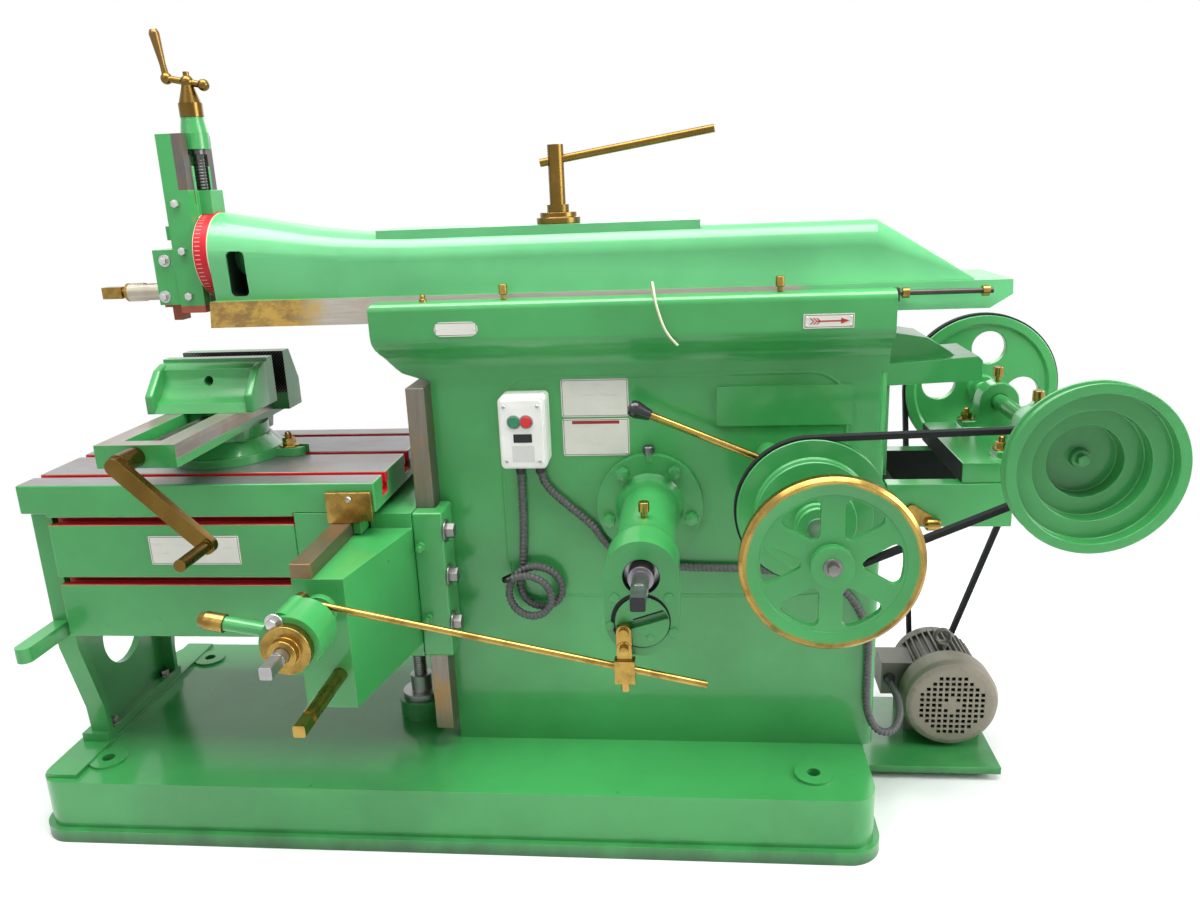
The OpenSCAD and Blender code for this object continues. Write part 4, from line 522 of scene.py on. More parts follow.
# Name, look and relief of each material, and the solids that carry it; the rest have the castings' enamel
SOLIDS = (
    ("foot_enamel", foot_enamel, CASTING, "base column table_support motor_plate"),
    ("polished_brass", brass, MOULDED,
     "elevating_shaft feed_collar pawl_plunger feed_rod feed_link way_wiper oil_cups"),
    ("dulled_brass", aged, MOULDED, "clamp_flange clamp_handle"),
    ("bright_steel", steel, MOULDED,
     "downfeed_screw elevating_nut elevating_screw feed_screw bull_gear crank_block rocker_arm"),
    ("way_iron", lambda f: machined(f, (3, 3, 0.25), (0.20, 0.175, 0.145), 0.8), MOULDED, "column_way"),
    ("rail_bar_iron", lambda f: machined(f, (3, 0.25, 3), (0.24, 0.18, 0.13), 0.7), MOULDED,
     "rail_guide_bar"),
    ("motor_paint", motor_look, MOULDED, "motor_body"),
    ("cowl_paint", lambda f: plain(f, (0.27, 0.242, 0.192), 0.42, 0.2, 0.0, 90.0, 0.4), MOULDED,
     "fan_cowl"),
    ("belt_rubber", belt_look, POLISHED, "drive_belt motor_belt motor_rotor"),
    ("conduit_plastic", lambda f: plain(f, paint().conduit, 0.45), MOULDED,
     "supply_conduit conduit_coil motor_conduit"),
    ("start_button_green", lambda f: plain(f, (0.02, 0.20, 0.09), 0.25, 0.0, 0.3), MOULDED, "start_button"),
    ("stop_button_red", lambda f: plain(f, (0.58, 0.02, 0.02), 0.25, 0.0, 0.3), MOULDED, "stop_button"),
    ("oil_tube_plastic", lambda f: plain(f, (0.72, 0.66, 0.46), 0.35), MOULDED, "oil_tube"),
    ("clapper_primer_and_pin", lambda f: f.over(abs(f.y) > 0.0272, primer(f), steel(f)), 0.0006,
     "clapper_block"),
    ("tool_post_brass_and_steel", lambda f: f.over(f.x > -0.5480, brass(f), steel(f, (0.46, 0.42, 0.34))),
     POLISHED, "tool_post"),
    # painted shade: the shaft's outer end, past Y -492.6 mm, is near-black
    ("stroke_shaft_steel_and_painted_shade", lambda f: f.over(
        f.y < -0.4926, steel(f, (0.30, 0.29, 0.31)), plain(f, (0.02, 0.02, 0.022), 0.5)),
     POLISHED, "stroke_shaft"),
    ("vise_jaw_enamel_and_face", lambda f: f.over(
        (f.y > -0.0006) * (f.z > 0.7360), enamel(f), scored(f)), CASTING, "vise_jaw"),
    ("vise_crank_brass_and_screw", lambda f: f.over(
        f.y > -0.2965, aged(f), steel(f, (0.10, 0.095, 0.085))), POLISHED, "vise_crank"),
    # painted shade: the bracket's inner faces between its beams, below Z 600 mm, are near-black
    ("bracket_enamel_and_painted_shade", lambda f: f.over(
        (abs(f.y) < 0.0852) * (f.z < 0.6002), enamel(f), painted_shade(f, 0.9)), CASTING, "countershaft_bracket"),
    # painted shade: the bearing blocks' low inner part is near-black
    ("bearing_enamel_and_painted_shade", lambda f: f.over(
        (f.x < 0.8566) * (f.z < 0.6335), enamel(f), painted_shade(f, 0.9)), CASTING, "bearing_blocks"),
    ("ram_enamel_and_slide", ram_look, CASTING, "ram"),
    ("table_enamel_top_and_slots", table_look, CASTING, "table"),
    ("swivel_enamel_and_ring", swivel_look, CASTING, "swivel_head"),
    ("tool_slide_enamel_and_ways", tool_slide_look, CASTING, "tool_slide"),
    ("hand_wheel_enamel_and_brass", hand_wheel_look, 0.0007, "hand_wheel"),
    ("drive_cone_enamel", lambda f: pulley_look(f, WHEEL, 0.0163), CASTING, "cone_pulley"),
    ("counter_cone_enamel", lambda f: pulley_look(f, COUNTER, 0.0010), CASTING, "countershaft"),
    ("vise_bed_enamel_and_bars", bed_look, CASTING, "vise_bed"),
    ("nose_enamel_and_painted_shade", nose_look, CASTING, "nose_housing"),
    ("feed_disc_enamel_and_painted_shade", disc_look, 0.0008, "feed_disc"),
    ("gib_steel_and_nuts", gib_look, POLISHED, "ram_gib"),
    ("clutch_lever_brass_and_knob", lever_look, POLISHED, "clutch_lever"),
    ("ball_crank_brass_and_grip", crank_look, POLISHED, "ball_crank"),
    ("starter_plastic", starter_look, POLISHED, "starter_box"),
)


# Mesh helpers

def cast_edges(solid, width):
    """Rounds a solid's sharp edges so that they catch the light."""
    solid.modifiers.new("merge", "WELD").merge_threshold = 2e-6
    flat = solid.modifiers.new("flats", "DECIMATE")
    flat.decimate_type = "DISSOLVE"
    flat.angle_limit = math.radians(0.5)
    edge = solid.modifiers.new("edges", "BEVEL")
    edge.width = width
    edge.segments = 2
    edge.limit_method = "ANGLE"
    edge.angle_limit = math.radians(32)
    edge.use_clamp_overlap = True
    solid.modifiers.new("shading", "WEIGHTED_NORMAL").keep_sharp = False


def put(data, name, body, material):
    """Object of a mesh or curve that rides on a body."""
    piece = bpy.data.objects.new(name, data)
    bpy.context.scene.collection.objects.link(piece)
    data.materials.append(material)
    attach(piece, body)
    return piece


@contextlib.contextmanager
def new_piece(name, body, slot, material, smooth=35):
    """Gives an empty bmesh and, when it is filled, turns it into a piece that rides on a body."""
    bm = bmesh.new()
    yield bm
    bmesh.ops.recalc_face_normals(bm, faces=bm.faces)
    for face in bm.faces:
        face.smooth = True
    mesh = bpy.data.meshes.new(name)
    bm.to_mesh(mesh)
    bm.free()
    mesh.set_sharp_from_angle(angle=math.radians(smooth))
    put(mesh, name, body, material)


def aim(place, axis):
    """Matrix that puts +Z along axis at a place given in millimetres."""
    return Matrix.Translation(Vector(place) * MM) @ axis.to_track_quat("Z", "Y").to_matrix().to_4x4()


def rounded(bm, edges, offset, segments):
    """Rounds some edges of a bmesh."""
    bmesh.ops.bevel(bm, geom=edges, offset=offset, affect="EDGES", segments=segments, profile=0.5,
                    material=-1)


# Sections of the small fixings, in shares of their size
WASHER_H = 0.12
WASHER = [(0, 0), (0.88, 0), (0.9, 0.05), (0.87, WASHER_H), (0, WASHER_H)]
STUD_END = [(0, 0.6), (0.3, 0.6), (0.3, 1.05), (0.24, 1.12), (0, 1.12)]
LOCK_SHANK = [(0, 0.4), (0.27, 0.4), (0.27, 0.8), (0, 0.8)]
RIVET = [(0, 0.30), (0.24, 0.27), (0.42, 0.16), (0.5, 0), (0, 0)]
CHEESE_HEAD = [(0, 0.34), (0.40, 0.34), (0.5, 0.22), (0.5, 0), (0, 0)]


def turned(bm, profile, where, steps=32, ring=False, unit=MM):
    """Solid of revolution of (radius, height) points in a unit given in metres; ring closes their line."""
    verts = [bm.verts.new(where @ Vector((r * unit, 0, h * unit))) for r, h in profile]
    ends = verts[1:] + verts[:1] if ring else verts[1:]
    edges = [bm.edges.new(pair) for pair in zip(verts, ends)]
    bmesh.ops.spin(bm, geom=verts + edges, cent=where.translation, axis=where.to_3x3() @ Z, angle=math.tau,
                   steps=steps, use_merge=True, use_duplicate=False)
    bmesh.ops.remove_doubles(bm, verts=bm.verts, dist=1e-6)


def hexagon(bm, where, flats, height):
    """Hexagon head or nut with a rounded top edge."""
    radius = flats / math.sqrt(3)
    made = bmesh.ops.create_cone(bm, cap_ends=True, segments=6, radius1=radius, radius2=radius,
                                 depth=height, matrix=where @ Matrix.Translation((0, 0, height / 2)))
    back = where.inverted()
    edges = dict.fromkeys(e for v in made["verts"] for e in v.link_edges)
    rim = [e for e in edges if all((back @ v.co).z > height * 0.9 for v in e.verts)]
    rounded(bm, rim, flats * 0.07, 2)


def bolt(bm, place, axis, flats, washer=True, stud=False, tall=0.62):
    """Hexagon bolt with its washer, or a nut on a stud end; tall is the head's height over its flats."""
    where = aim(place, axis)
    if washer:
        turned(bm, WASHER, where, 28, unit=flats)
        where = where @ Matrix.Translation((0, 0, flats * WASHER_H))
    hexagon(bm, where, flats, flats * tall)
    if stud:
        turned(bm, STUD_END, where, 20, unit=flats)


def lock_screw(bm, place, axis, flats):
    """Adjusting screw: a lock nut on the casting and a smaller head standing out of it."""
    where = aim(place, axis)
    hexagon(bm, where, flats, flats * 0.45)
    turned(bm, LOCK_SHANK, where, 18, unit=flats)
    hexagon(bm, where @ Matrix.Translation((0, 0, flats * 0.78)), flats * 0.72, flats * 0.42)


def rivet(bm, place, axis, across):
    """Round-headed screw or rivet."""
    turned(bm, RIVET, aim(place, axis), 16, unit=across)


def slotted_screw(bm, place, axis, across):
    """Cheese-headed screw with a sunk crown."""
    where = aim(place, axis)
    turned(bm, CHEESE_HEAD, where, 24, unit=across)
    back = where.inverted()
    crown = [f for f in bm.faces if all((back @ v.co).z > across * 0.30 for v in f.verts)]
    made = bmesh.ops.inset_region(bm, faces=crown, thickness=across * 0.30, depth=-across * 0.10)
    bmesh.ops.recalc_face_normals(bm, faces=made["faces"])


def thread(bm, place, root, crest, run, pitch):
    """Helical ridge round an upright shaft, made by turning its section along the shaft."""
    where = aim(place, Z)
    p = pitch / MM
    sunk = root - 0.4
    section = [(sunk, 0), (crest, 0.26 * p), (crest, 0.54 * p), (sunk, 0.80 * p)]
    verts = [bm.verts.new(where @ Vector((r * MM, 0, h * MM))) for r, h in section]
    edges = [bm.edges.new(pair) for pair in zip(verts, verts[1:])]
    turns = run / p - 1
    steps = int(turns * 20)
    bmesh.ops.spin(bm, geom=verts + edges, cent=where.translation, axis=Z, angle=math.tau * turns,
                   steps=steps, dvec=Z * (run - p) * MM / steps)


def slab(bm, low, high, corner):
    """Box between two corners in millimetres, with its edges along Y rounded."""
    low, high = Vector(low) * MM, Vector(high) * MM
    size = high - low
    where = Matrix.Translation((low + high) / 2) @ Matrix.Diagonal((*size, 1))
    bmesh.ops.create_cube(bm, size=1.0, matrix=where)
    along = [e for e in bm.edges if abs((e.verts[0].co - e.verts[1].co).y) > size.y * 0.5]
    rounded(bm, along, corner * MM, 6)


def outline(bm, points, span, axis=1, edge=0.0):
    """Flat shape given by its corners across an axis, thickened along it over span, all in millimetres."""
    old = set(bm.verts)
    places = [(a, span[0], b) if axis == 1 else (span[0], a, b) for a, b in points]
    face = bm.faces.new([bm.verts.new(Vector(place) * MM) for place in places])
    made = bmesh.ops.extrude_face_region(bm, geom=[face])
    moved = [v for v in made["geom"] if isinstance(v, bmesh.types.BMVert)]
    bmesh.ops.translate(bm, verts=moved, vec=(Y if axis == 1 else X) * (span[1] - span[0]) * MM)
    if edge:
        sharp = [e for e in bm.edges if e.verts[0] not in old and e.calc_face_angle(0.0) > 0.3]
        rounded(bm, sharp, edge * MM, 4)


def loft(bm, sections):
    """Skin through open sections, each a list of points in millimetres."""
    rows = []
    for section in sections:
        verts = [bm.verts.new(Vector(point) * MM) for point in section]
        rows.append([bm.edges.new(pair) for pair in zip(verts, verts[1:])])
    for near, far in zip(rows, rows[1:]):
        bmesh.ops.bridge_loops(bm, edges=near + far)


# Conduits and the oil tube, along the same routes as their solids

CONDUIT_R = 0.007
CONDUIT_Y = -103
SUPPLY = [(145, STARTER_FOOT), (145, 625), (145, 590), (144, 540), (141, 490), (137.3, 450.6)]
COIL_CENTRE, COIL_DRIFT, COIL_R, COIL_TURNS, COIL_START = (173.5, 426.5), (-17, -11), 41, 1.9, 165
COIL_RISE = 15
COIL_STEPS = 84
MOTOR_RUN = [(178, STARTER_FOOT), (180, 620), (192, 594), (225, 562), (262, 528), (290, 490), (330, 464),
             (380, 456), (450, 452), (520, 450), (600, 440), (680, 410), (720, 340), (724, 260), (726, 190),
             (744, 150)]
MOTOR_ENTRY = [(772, -92, 140), (795, -45, 140), (804, 10, 140), (804, 60, 140), (804, 93, 140)]
OIL_TUBE = [(371, -100, 912), (371, -104, 924), (372, -118, 932), (374, -132, 924), (378, -139, 900),
            (388, -140, 868), (398, -139, 850), (410, -137, 836)]
RIBS = (1.0, 1.0, 0.97, 0.84, 0.80, 0.84)


def supply_route():
    """Points along the supply conduit and its coil, in millimetres."""
    points = [Vector((x, CONDUIT_Y, z)) for x, z in SUPPLY]
    for k in range(COIL_STEPS + 1):
        turn = COIL_TURNS * k / COIL_STEPS
        a = math.radians(COIL_START) + math.tau * turn
        points.append(Vector((COIL_CENTRE[0] + COIL_DRIFT[0] * turn + COIL_R * math.cos(a),
                              CONDUIT_Y - COIL_RISE * turn,
                              COIL_CENTRE[1] + COIL_DRIFT[1] * turn + COIL_R * math.sin(a))))
    return points


def even_points(points, step):
    """The same route as points an even step apart, on a smooth curve."""
    fine = []
    parts = 12
    last = len(points) - 1
    for i in range(last):
        a, b, c, d = (points[max(0, min(last, j))] for j in (i - 1, i, i + 1, i + 2))
        for k in range(parts):
            t = k / parts
            bend = (2 * a - 5 * b + 4 * c - d) * t * t + (3 * b - a - 3 * c + d) * t ** 3
            fine.append(0.5 * (2 * b + (c - a) * t + bend))
    fine.append(points[-1])
    out = [fine[0]]
    left = step
    for a, b in zip(fine, fine[1:]):
        gap = (b - a).length
        while gap > left:
            a = a + (b - a) * (left / gap)
            gap = (b - a).length
            out.append(a.copy())
            left = step
        left -= gap
    return out


def hose(name, route, radii, radius, material):
    """Tube along a route in millimetres, with radii repeated along it as its ribs."""
    curve = bpy.data.curves.new(name, "CURVE")
    curve.dimensions = "3D"
    spline = curve.splines.new("POLY")
    spline.points.add(len(route) - 1)
    for i, (point, place) in enumerate(zip(spline.points, route)):
        point.co = (*(place * MM), 1)
        point.radius = radii[i % len(radii)]
    curve.bevel_depth = radius
    curve.bevel_resolution = 3
    curve.use_fill_caps = True
    return put(curve, name, "frame", material)


def rib_route(points):
    """Route with one point for each radius of the ribs."""
    return even_points(points, sizes().rib / MM / len(RIBS))


def conduit(name, route):
    """Ribbed conduit along a route."""
    plastic = moulded(f"{name}_plastic", paint().conduit, 0.42, 0.0, 0.05)
    return hose(f"{name}_hose", route, RIBS, CONDUIT_R, plastic)


def run_length(route):
    return sum((b - a).length for a, b in zip(route, route[1:])) * MM


# Operators

class SHAPER_OT_camera(bpy.types.Operator):
    """Camera at the photograph's place and angle."""
    bl_idname = "shaper.camera"
    bl_label = "Camera"

    def execute(self, context):
        data = bpy.data.cameras.new("camera")
        data.sensor_fit = "HORIZONTAL"
        data.sensor_width = 36.0
        data.lens = 28.262
        data.clip_end = 60
        camera = bpy.data.objects.new("camera", data)
        context.scene.collection.objects.link(camera)
        right = Vector((0.99510, 0.09121, -0.03812))
        up = Vector((0.01209, 0.27046, 0.96265))
        back = Vector((0.09811, -0.95840, 0.26803))
        turn = Matrix((right, up, back)).transposed().to_4x4()
        camera.matrix_world = Matrix.Translation((0.43116, -1.58843, 1.07582)) @ turn
        context.scene.camera = camera
        return {"FINISHED"}


class SHAPER_OT_supply_conduit(bpy.types.Operator):
    """Ribbed supply conduit from the starter, hung up in its coil."""
    bl_idname = "shaper.supply_conduit"
    bl_label = "Supply conduit"

    def execute(self, context):
        route = rib_route(supply_route())
        piece = conduit("supply_conduit", route)
        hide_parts("supply_conduit", "conduit_coil")
        run_length(route)
        return {"FINISHED"}


class SHAPER_OT_oil_tube(bpy.types.Operator):
    """Thin oil tube that hangs over the ram guide."""
    bl_idname = "shaper.oil_tube"
    bl_label = "Oil tube"

    def execute(self, context):
        route = even_points([Vector(p) for p in OIL_TUBE], 2.0)
        cream = moulded("oil_line_plastic", (0.70, 0.66, 0.50), 0.32, 0.0, 0.1)
        piece = hose("oil_tube_line", route, (1.0,), 0.002, cream)
        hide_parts("oil_tube")
        run_length(route)
        return {"FINISHED"}


class SHAPER_OT_motor_conduit(bpy.types.Operator):
    """Ribbed conduit that the column carries from the starter to the motor."""
    bl_idname = "shaper.motor_conduit"
    bl_label = "Motor conduit"

    def execute(self, context):
        points = [Vector((x, CONDUIT_Y, z)) for x, z in MOTOR_RUN] + [Vector(p) for p in MOTOR_ENTRY]
        piece = conduit("motor_conduit", rib_route(points))
        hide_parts("motor_conduit")
        return {"FINISHED"}


class SHAPER_OT_stage(bpy.types.Operator):
    """Plain floor, soft lamps and a white surround."""
    bl_idname = "shaper.stage"
    bl_label = "Stage"

    def execute(self, context):
        scene = context.scene
        stage = scene.shaper_stage
        bm = bmesh.new()
        bmesh.ops.create_grid(bm, x_segments=1, y_segments=1, size=30)
        mesh = bpy.data.meshes.new("floor")
        bm.to_mesh(mesh)
        bm.free()
        floor = bpy.data.objects.new("floor", mesh)
        scene.collection.objects.link(floor)
        mesh.materials.append(self.floor_material(stage.floor))
        for name, place, target, size, watts in (
                ("key", (-1.7, -2.9, 3.0), (0.1, 0, 0.6), (2.6, 2.0), stage.key),
                ("fill", (3.6, -0.8, 1.9), (0.0, -0.2, 0.5), (1.8, 1.8), stage.fill),
                ("top", (0.15, -0.45, 3.4), (0.15, 0, 0.7), (3.6, 1.8), stage.top),
                ("back", (0.4, 3.2, 2.2), (0.1, 0, 0.6), (2.4, 1.6), stage.fill / 4)):
            lamp = bpy.data.lights.new(name, "AREA")
            lamp.shape = "RECTANGLE"
            lamp.size, lamp.size_y = size
            lamp.energy = watts
            holder = bpy.data.objects.new(name, lamp)
            holder.location = place
            holder.rotation_euler = (Vector(target) - Vector(place)).to_track_quat("-Z", "Y").to_euler()
            scene.collection.objects.link(holder)
        scene.world = self.surround(stage.surround)
        scene.view_settings.view_transform = "Standard"
        return {"FINISHED"}

    def blend(self, tree, share, near, far, output):
        """Closes a node tree with two shaders mixed by share."""
        mixer, end = tree.nodes.new("ShaderNodeMixShader"), tree.nodes.new(output)
        for source, target in ((share, mixer.inputs[0]), (near.outputs[0], mixer.inputs[1]),
                               (far.outputs[0], mixer.inputs[2]), (mixer.outputs[0], end.inputs[0])):
            tree.links.new(source, target)

    def seen(self, tree):
        """Socket that is 1 for rays from the camera, also by way of gloss or glass."""
        path = tree.nodes.new("ShaderNodeLightPath")
        total = path.outputs["Is Camera Ray"]
        for name in ("Is Glossy Ray", "Is Transmission Ray"):
            larger = tree.nodes.new("ShaderNodeMath")
            larger.operation = "MAXIMUM"
            tree.links.new(total, larger.inputs[0])
            tree.links.new(path.outputs[name], larger.inputs[1])
            total = larger.outputs[0]
        return total

    def floor_material(self, colour):
        """Pale floor with the object's shadow, fading to white further off."""
        f = Finish("floor_pale")
        far = f.step(f.radius("z", (150, 0)), 0.95, 2.3) * Sock(f, self.seen(f.tree))
        ground = f.node("ShaderNodeBsdfDiffuse", {}, {"Color": (*colour, 1)}, out=None)
        white = f.node("ShaderNodeEmission", {}, {"Color": (1, 1, 1, 1), "Strength": 1.0}, out=None)
        self.blend(f.tree, far.socket, ground, white, "ShaderNodeOutputMaterial")
        return f.material

    def surround(self, strength):
        """Even light from all round, seen as white."""
        world = bpy.data.worlds.new("surround")
        world.use_nodes = True
        tree = world.node_tree
        tree.nodes.clear()
        light, white = tree.nodes.new("ShaderNodeBackground"), tree.nodes.new("ShaderNodeBackground")
        light.inputs["Strength"].default_value = strength
        light.inputs["Color"].default_value = (0.97, 0.985, 1, 1)
        white.inputs["Color"].default_value = (1, 1, 1, 1)
        self.blend(tree, self.seen(tree), light, white, "ShaderNodeOutputWorld")
        return world


class SHAPER_OT_solids(bpy.types.Operator):
    """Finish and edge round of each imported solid."""
    bl_idname = "shaper.solids"
    bl_label = "Castings and shafts"

    def execute(self, context):
        large = ("base column ram table saddle cross_rail rail_clamps table_support nose_housing vise_bed "
                 "vise_jaw vise_base cone_pulley countershaft countershaft_bracket bearing_blocks").split()
        hidden = "supply_conduit conduit_coil motor_conduit oil_tube downfeed_screw".split()
        materials = dict.fromkeys(NODES, simple("castings_enamel", enamel, CASTING))
        for name, look, depth, nodes in SOLIDS:
            materials.update(dict.fromkeys(nodes.split(), simple(name, look, depth)))
        for name, solid in NODES.items():
            solid.data.materials.clear()
            solid.data.materials.append(materials[name])
            for face in solid.data.polygons:
                face.material_index = 0
            if name not in hidden:
                cast_edges(solid, sizes().edge if name in large else sizes().small_edge)
        return {"FINISHED"}


class SHAPER_OT_bolts(bpy.types.Operator):
    """Bolts, nuts and washers on the castings."""
    bl_idname = "shaper.bolts"
    bl_label = "Bolts and nuts"

    def execute(self, context):
        rail, nut, cap = sizes().rail_bolt, sizes().nut, sizes().cap_bolt
        bright = metal("bolt_steel", (0.62, 0.62, 0.61))
        dark = metal("bolt_dark_steel", (0.24, 0.235, 0.22))
        green = simple("bolt_enamel", enamel, POLISHED)
        yellow = simple("nut_brass", brass)
        circle = 72
        angles = [math.radians(55 + 360 / 5 * k) for k in range(5)]
        flange = [((CRANK[0] + circle * math.cos(a), FLANGE_FACE, CRANK[1] + circle * math.sin(a)),
                   -Y, cap, False) for a in angles]
        lobes = [((x, LOBE_FACE, z), -Y, 0.012, False, False, 0.2)
                 for x, z in ((322, 535), (396, 535), (402, 484), (314, 493))]
        groups = (
            ("rail_clamp_bolts", "rail", "bright_steel", dark,
             [((21, s * 150, z), X, rail) for s in (-1, 1) for z in (538, 459, 373)]),
            ("nose_housing_bolts", "frame", "green_paint", green, flange + lobes),
            ("pillow_nuts", "frame", "brass", yellow,
             [((COUNTER[0] + s * 51, y, 646), Z, 0.017, True, True) for s in (-1, 1) for y in (-72, 130)]),
            ("feed_disc_bolts", "feed_disc", "green_paint", green,
             [((x, DISC_FACE, z), -Y, 0.0105, False, False, 0.075) for x, z in ((357, 522), (370, 476))]),
            ("tool_slide_bolts", "tool_slide", "bright_steel", bright,
             [((-414, -50, z), -Y, 0.012, False) for z in (1077, 1000, 925)]),
            ("clapper_box_bolts", "clapper_box", "bright_steel", bright, [((-460, -47, 925), -Y, 0.0115)]),
            ("clapper_pin_bolt", "clapper", "bright_steel", bright, [((-451.1, -47.3, 985), -Y, 0.0115)]),
            ("vise_nuts", "table", "brass", yellow,
             [((VISE[0] + s * 114, VISE[1], 652), Z, nut, True, True) for s in (-1, 1)]),
            ("hand_wheel_bolt", "drive", "bright_steel", dark, [((WHEEL[0], -452, WHEEL[1]), -Y, 0.014)]),
            ("countershaft_bolt", "countershaft", "green_paint", green,
             [((COUNTER[0], -254, COUNTER[1]), -Y, 0.015)]),
            ("support_bolts", "support", "bright_steel", dark,
             [((-664.3, y, 138.3), Z, 0.015) for y in (-104, 76)]),
            ("pawl_arm_bolt", "pawl_arm", "bright_steel", bright, [((-127, -488, 535), -Y, 0.014)]),
            ("feed_link_bolt", "feed_rod", "brass", yellow, [((334, -420, 465), -Y, 0.012)]),
        )
        for name, body, slot, material, places in groups:
            with new_piece(name, body, slot, material) as bm:
                for place in places:
                    bolt(bm, *place)
        with new_piece("rail_gib_screws", "rail", "green_paint", green) as bm:
            for place in ((-18, -165, 516), (-16, -165, 387)):
                lock_screw(bm, place, -Y, 0.014)
        return {"FINISHED"}


class SHAPER_OT_fittings(bpy.types.Operator):
    """Small castings and brass fittings that the solids leave out."""
    bl_idname = "shaper.fittings"
    bl_label = "Fittings"

    def execute(self, context):
        green = simple("fitting_enamel", enamel)
        yellow = simple("fitting_brass", brass)
        dull = metal("plug_steel", (0.17, 0.17, 0.17))
        with new_piece("flange_plug", "frame", "bright_steel", dull) as bm:
            plug = [(0, 2), (7, 2), (9.8, 3), (9.8, 12), (8.2, 14), (0, 14)]
            turned(bm, plug, aim((CRANK[0], -104, 653), Z))
        with new_piece("nose_fillets", "frame", "green_paint", green) as bm:
            root = [(44.4, -0.4), (57, -0.4), (54.5, 3), (50.6, 8), (47.6, 13), (46.2, 19), (45.3, 28),
                    (44.4, 28)]
            flare = [(44.4, 0), (45.2, 0), (45.9, 14), (47.6, 27), (50.0, 36), (52.2, 43), (52.2, 46),
                     (44.4, 46)]
            for profile, y in ((root, FLANGE_FACE), (flare, -300)):
                turned(bm, profile, aim((CRANK[0], y, CRANK[1]), -Y), 64, ring=True)
        self.cover_rim()
        with new_piece("oil_nipple", "frame", "brass", yellow) as bm:
            nipple = [(0, 0), (6, 0), (6, 4), (4, 5.5), (4.6, 9), (3, 12), (0, 12.5)]
            turned(bm, nipple, aim((7, -116, 911.6), Z), 20)
        with new_piece("beam_clamp", "frame", "brass", yellow) as bm:
            slab(bm, (768, -122, 538), (812, -114.7, 558), 7.0)
            bmesh.ops.rotate(bm, verts=bm.verts, cent=Vector((794, -118, 548)) * MM,
                             matrix=Matrix.Rotation(math.radians(33), 3, "Y"))
            knob = [(0, 0), (7.5, 0), (10, 3), (10, 19), (8.6, 23), (4, 25), (0, 25.4)]
            turned(bm, knob, aim((800, -125, 536), X))
        with new_piece("wiper_screw", "table", "bright_steel", simple("wiper_screw_steel", steel)) as bm:
            slotted_screw(bm, (-117, -205, 612), -Y, 0.010)
        with new_piece("jaw_cheeks", "vise_jaw", "green_paint", green) as bm:
            cheek = [(-96.4, 731.6), (-96.4, 762), (-58, 800), (-36, 807.6), (-30, 807.6), (-30, 731.6)]
            for side in (-1, 1):
                outline(bm, cheek, sorted(VISE[0] + side * reach for reach in (95.5, 81)), 0, 3.0)
        return {"FINISHED"}

    def cover_rim(self):
        """Raised line of the large cover on the column's side: a ridge with its feet sunk in the column."""
        paintwork = simple("cover_enamel", foot_enamel, CASTING)
        with new_piece("cover_rim", "frame", "green_paint", paintwork, 60) as bm:
            slab(bm, (110, COLUMN_FACE + 0.05, 395), (680, COLUMN_FACE + 1, 785), 60.0)
            bmesh.ops.recalc_face_normals(bm, faces=bm.faces)
            front = [face for face in bm.faces if face.normal.y < -0.9]
            ridge = []
            for rise in (1.75, -2.1):
                made = bmesh.ops.inset_region(bm, faces=front, thickness=3.5 * MM, depth=rise * MM)
                ridge += made["faces"]
            bmesh.ops.delete(bm, geom=[face for face in bm.faces if face not in ridge], context="FACES")


class SHAPER_OT_ram_neck(bpy.types.Operator):
    """Skin that lets the ram's round nose flow into its body."""
    bl_idname = "shaper.ram_neck"
    bl_label = "Ram neck"

    def execute(self, context):
        with new_piece("ram_neck", "ram", "green_paint", NODES["ram"].data.materials[0], 60) as bm:
            loft(bm, [self.section(k / 24) for k in range(25)])
        return {"FINISHED"}

    def section(self, t):
        """Round crown at share t of the neck: nose at 0, body at 1, a little proud between sunk ends."""
        first, run = -240, 232
        x = first + run * t
        start = (first + 362) / 220
        keep = (1 - t) ** 2
        crown = 40 + 30 * (1 - start) * keep
        flat = 36 - 36 * (1 - start) * keep
        height = 974 + (16 - 12 * start) * keep
        reach = crown + 0.75 * math.sin(math.pi * t) ** 0.5 - 0.35
        arc = [math.radians(7.5 * k) for k in range(13)]
        near = [(x, -flat - reach * math.cos(a), height + reach * math.sin(a)) for a in arc]
        return near + [(x, -y, z) for x, y, z in reversed(near)]


class SHAPER_OT_threads(bpy.types.Operator):
    """Threads of the elevating screw and of the down-feed screw, which is cut in to pass its nut."""
    bl_idname = "shaper.threads"
    bl_label = "Screw threads"

    def execute(self, context):
        pitch = sizes().pitch
        dark = metal("thread_steel", (0.17, 0.165, 0.16))
        with new_piece("elevating_thread", "elevating_screw", "bright_steel", dark, 50) as bm:
            thread(bm, (-94, 0, 194), 12.0, 12.7, 118, pitch)
        low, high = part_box("downfeed_screw")
        foot = Vector(((low[0] + high[0]) / 2, 0, low[2])) / MM
        tall = (high[2] - low[2]) / MM
        core, crest, collar = 8.4, 9.4, 14.5
        oiled = metal("downfeed_steel", (0.115, 0.11, 0.11))
        with new_piece("downfeed_screw_cut", "downfeed", "bright_steel", oiled, 50) as bm:
            shaft = [(0, 0), (core - 1.2, 0), (core, 1.2), (core, 151), (crest, 152), (crest, 155),
                     (collar, 155), (collar, 162.7), (crest, 162.7), (crest, tall), (0, tall)]
            turned(bm, shaft, aim(foot, Z), 40)
            thread(bm, foot + Z, core, crest, 150, pitch)
        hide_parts("downfeed_screw")
        return {"FINISHED"}


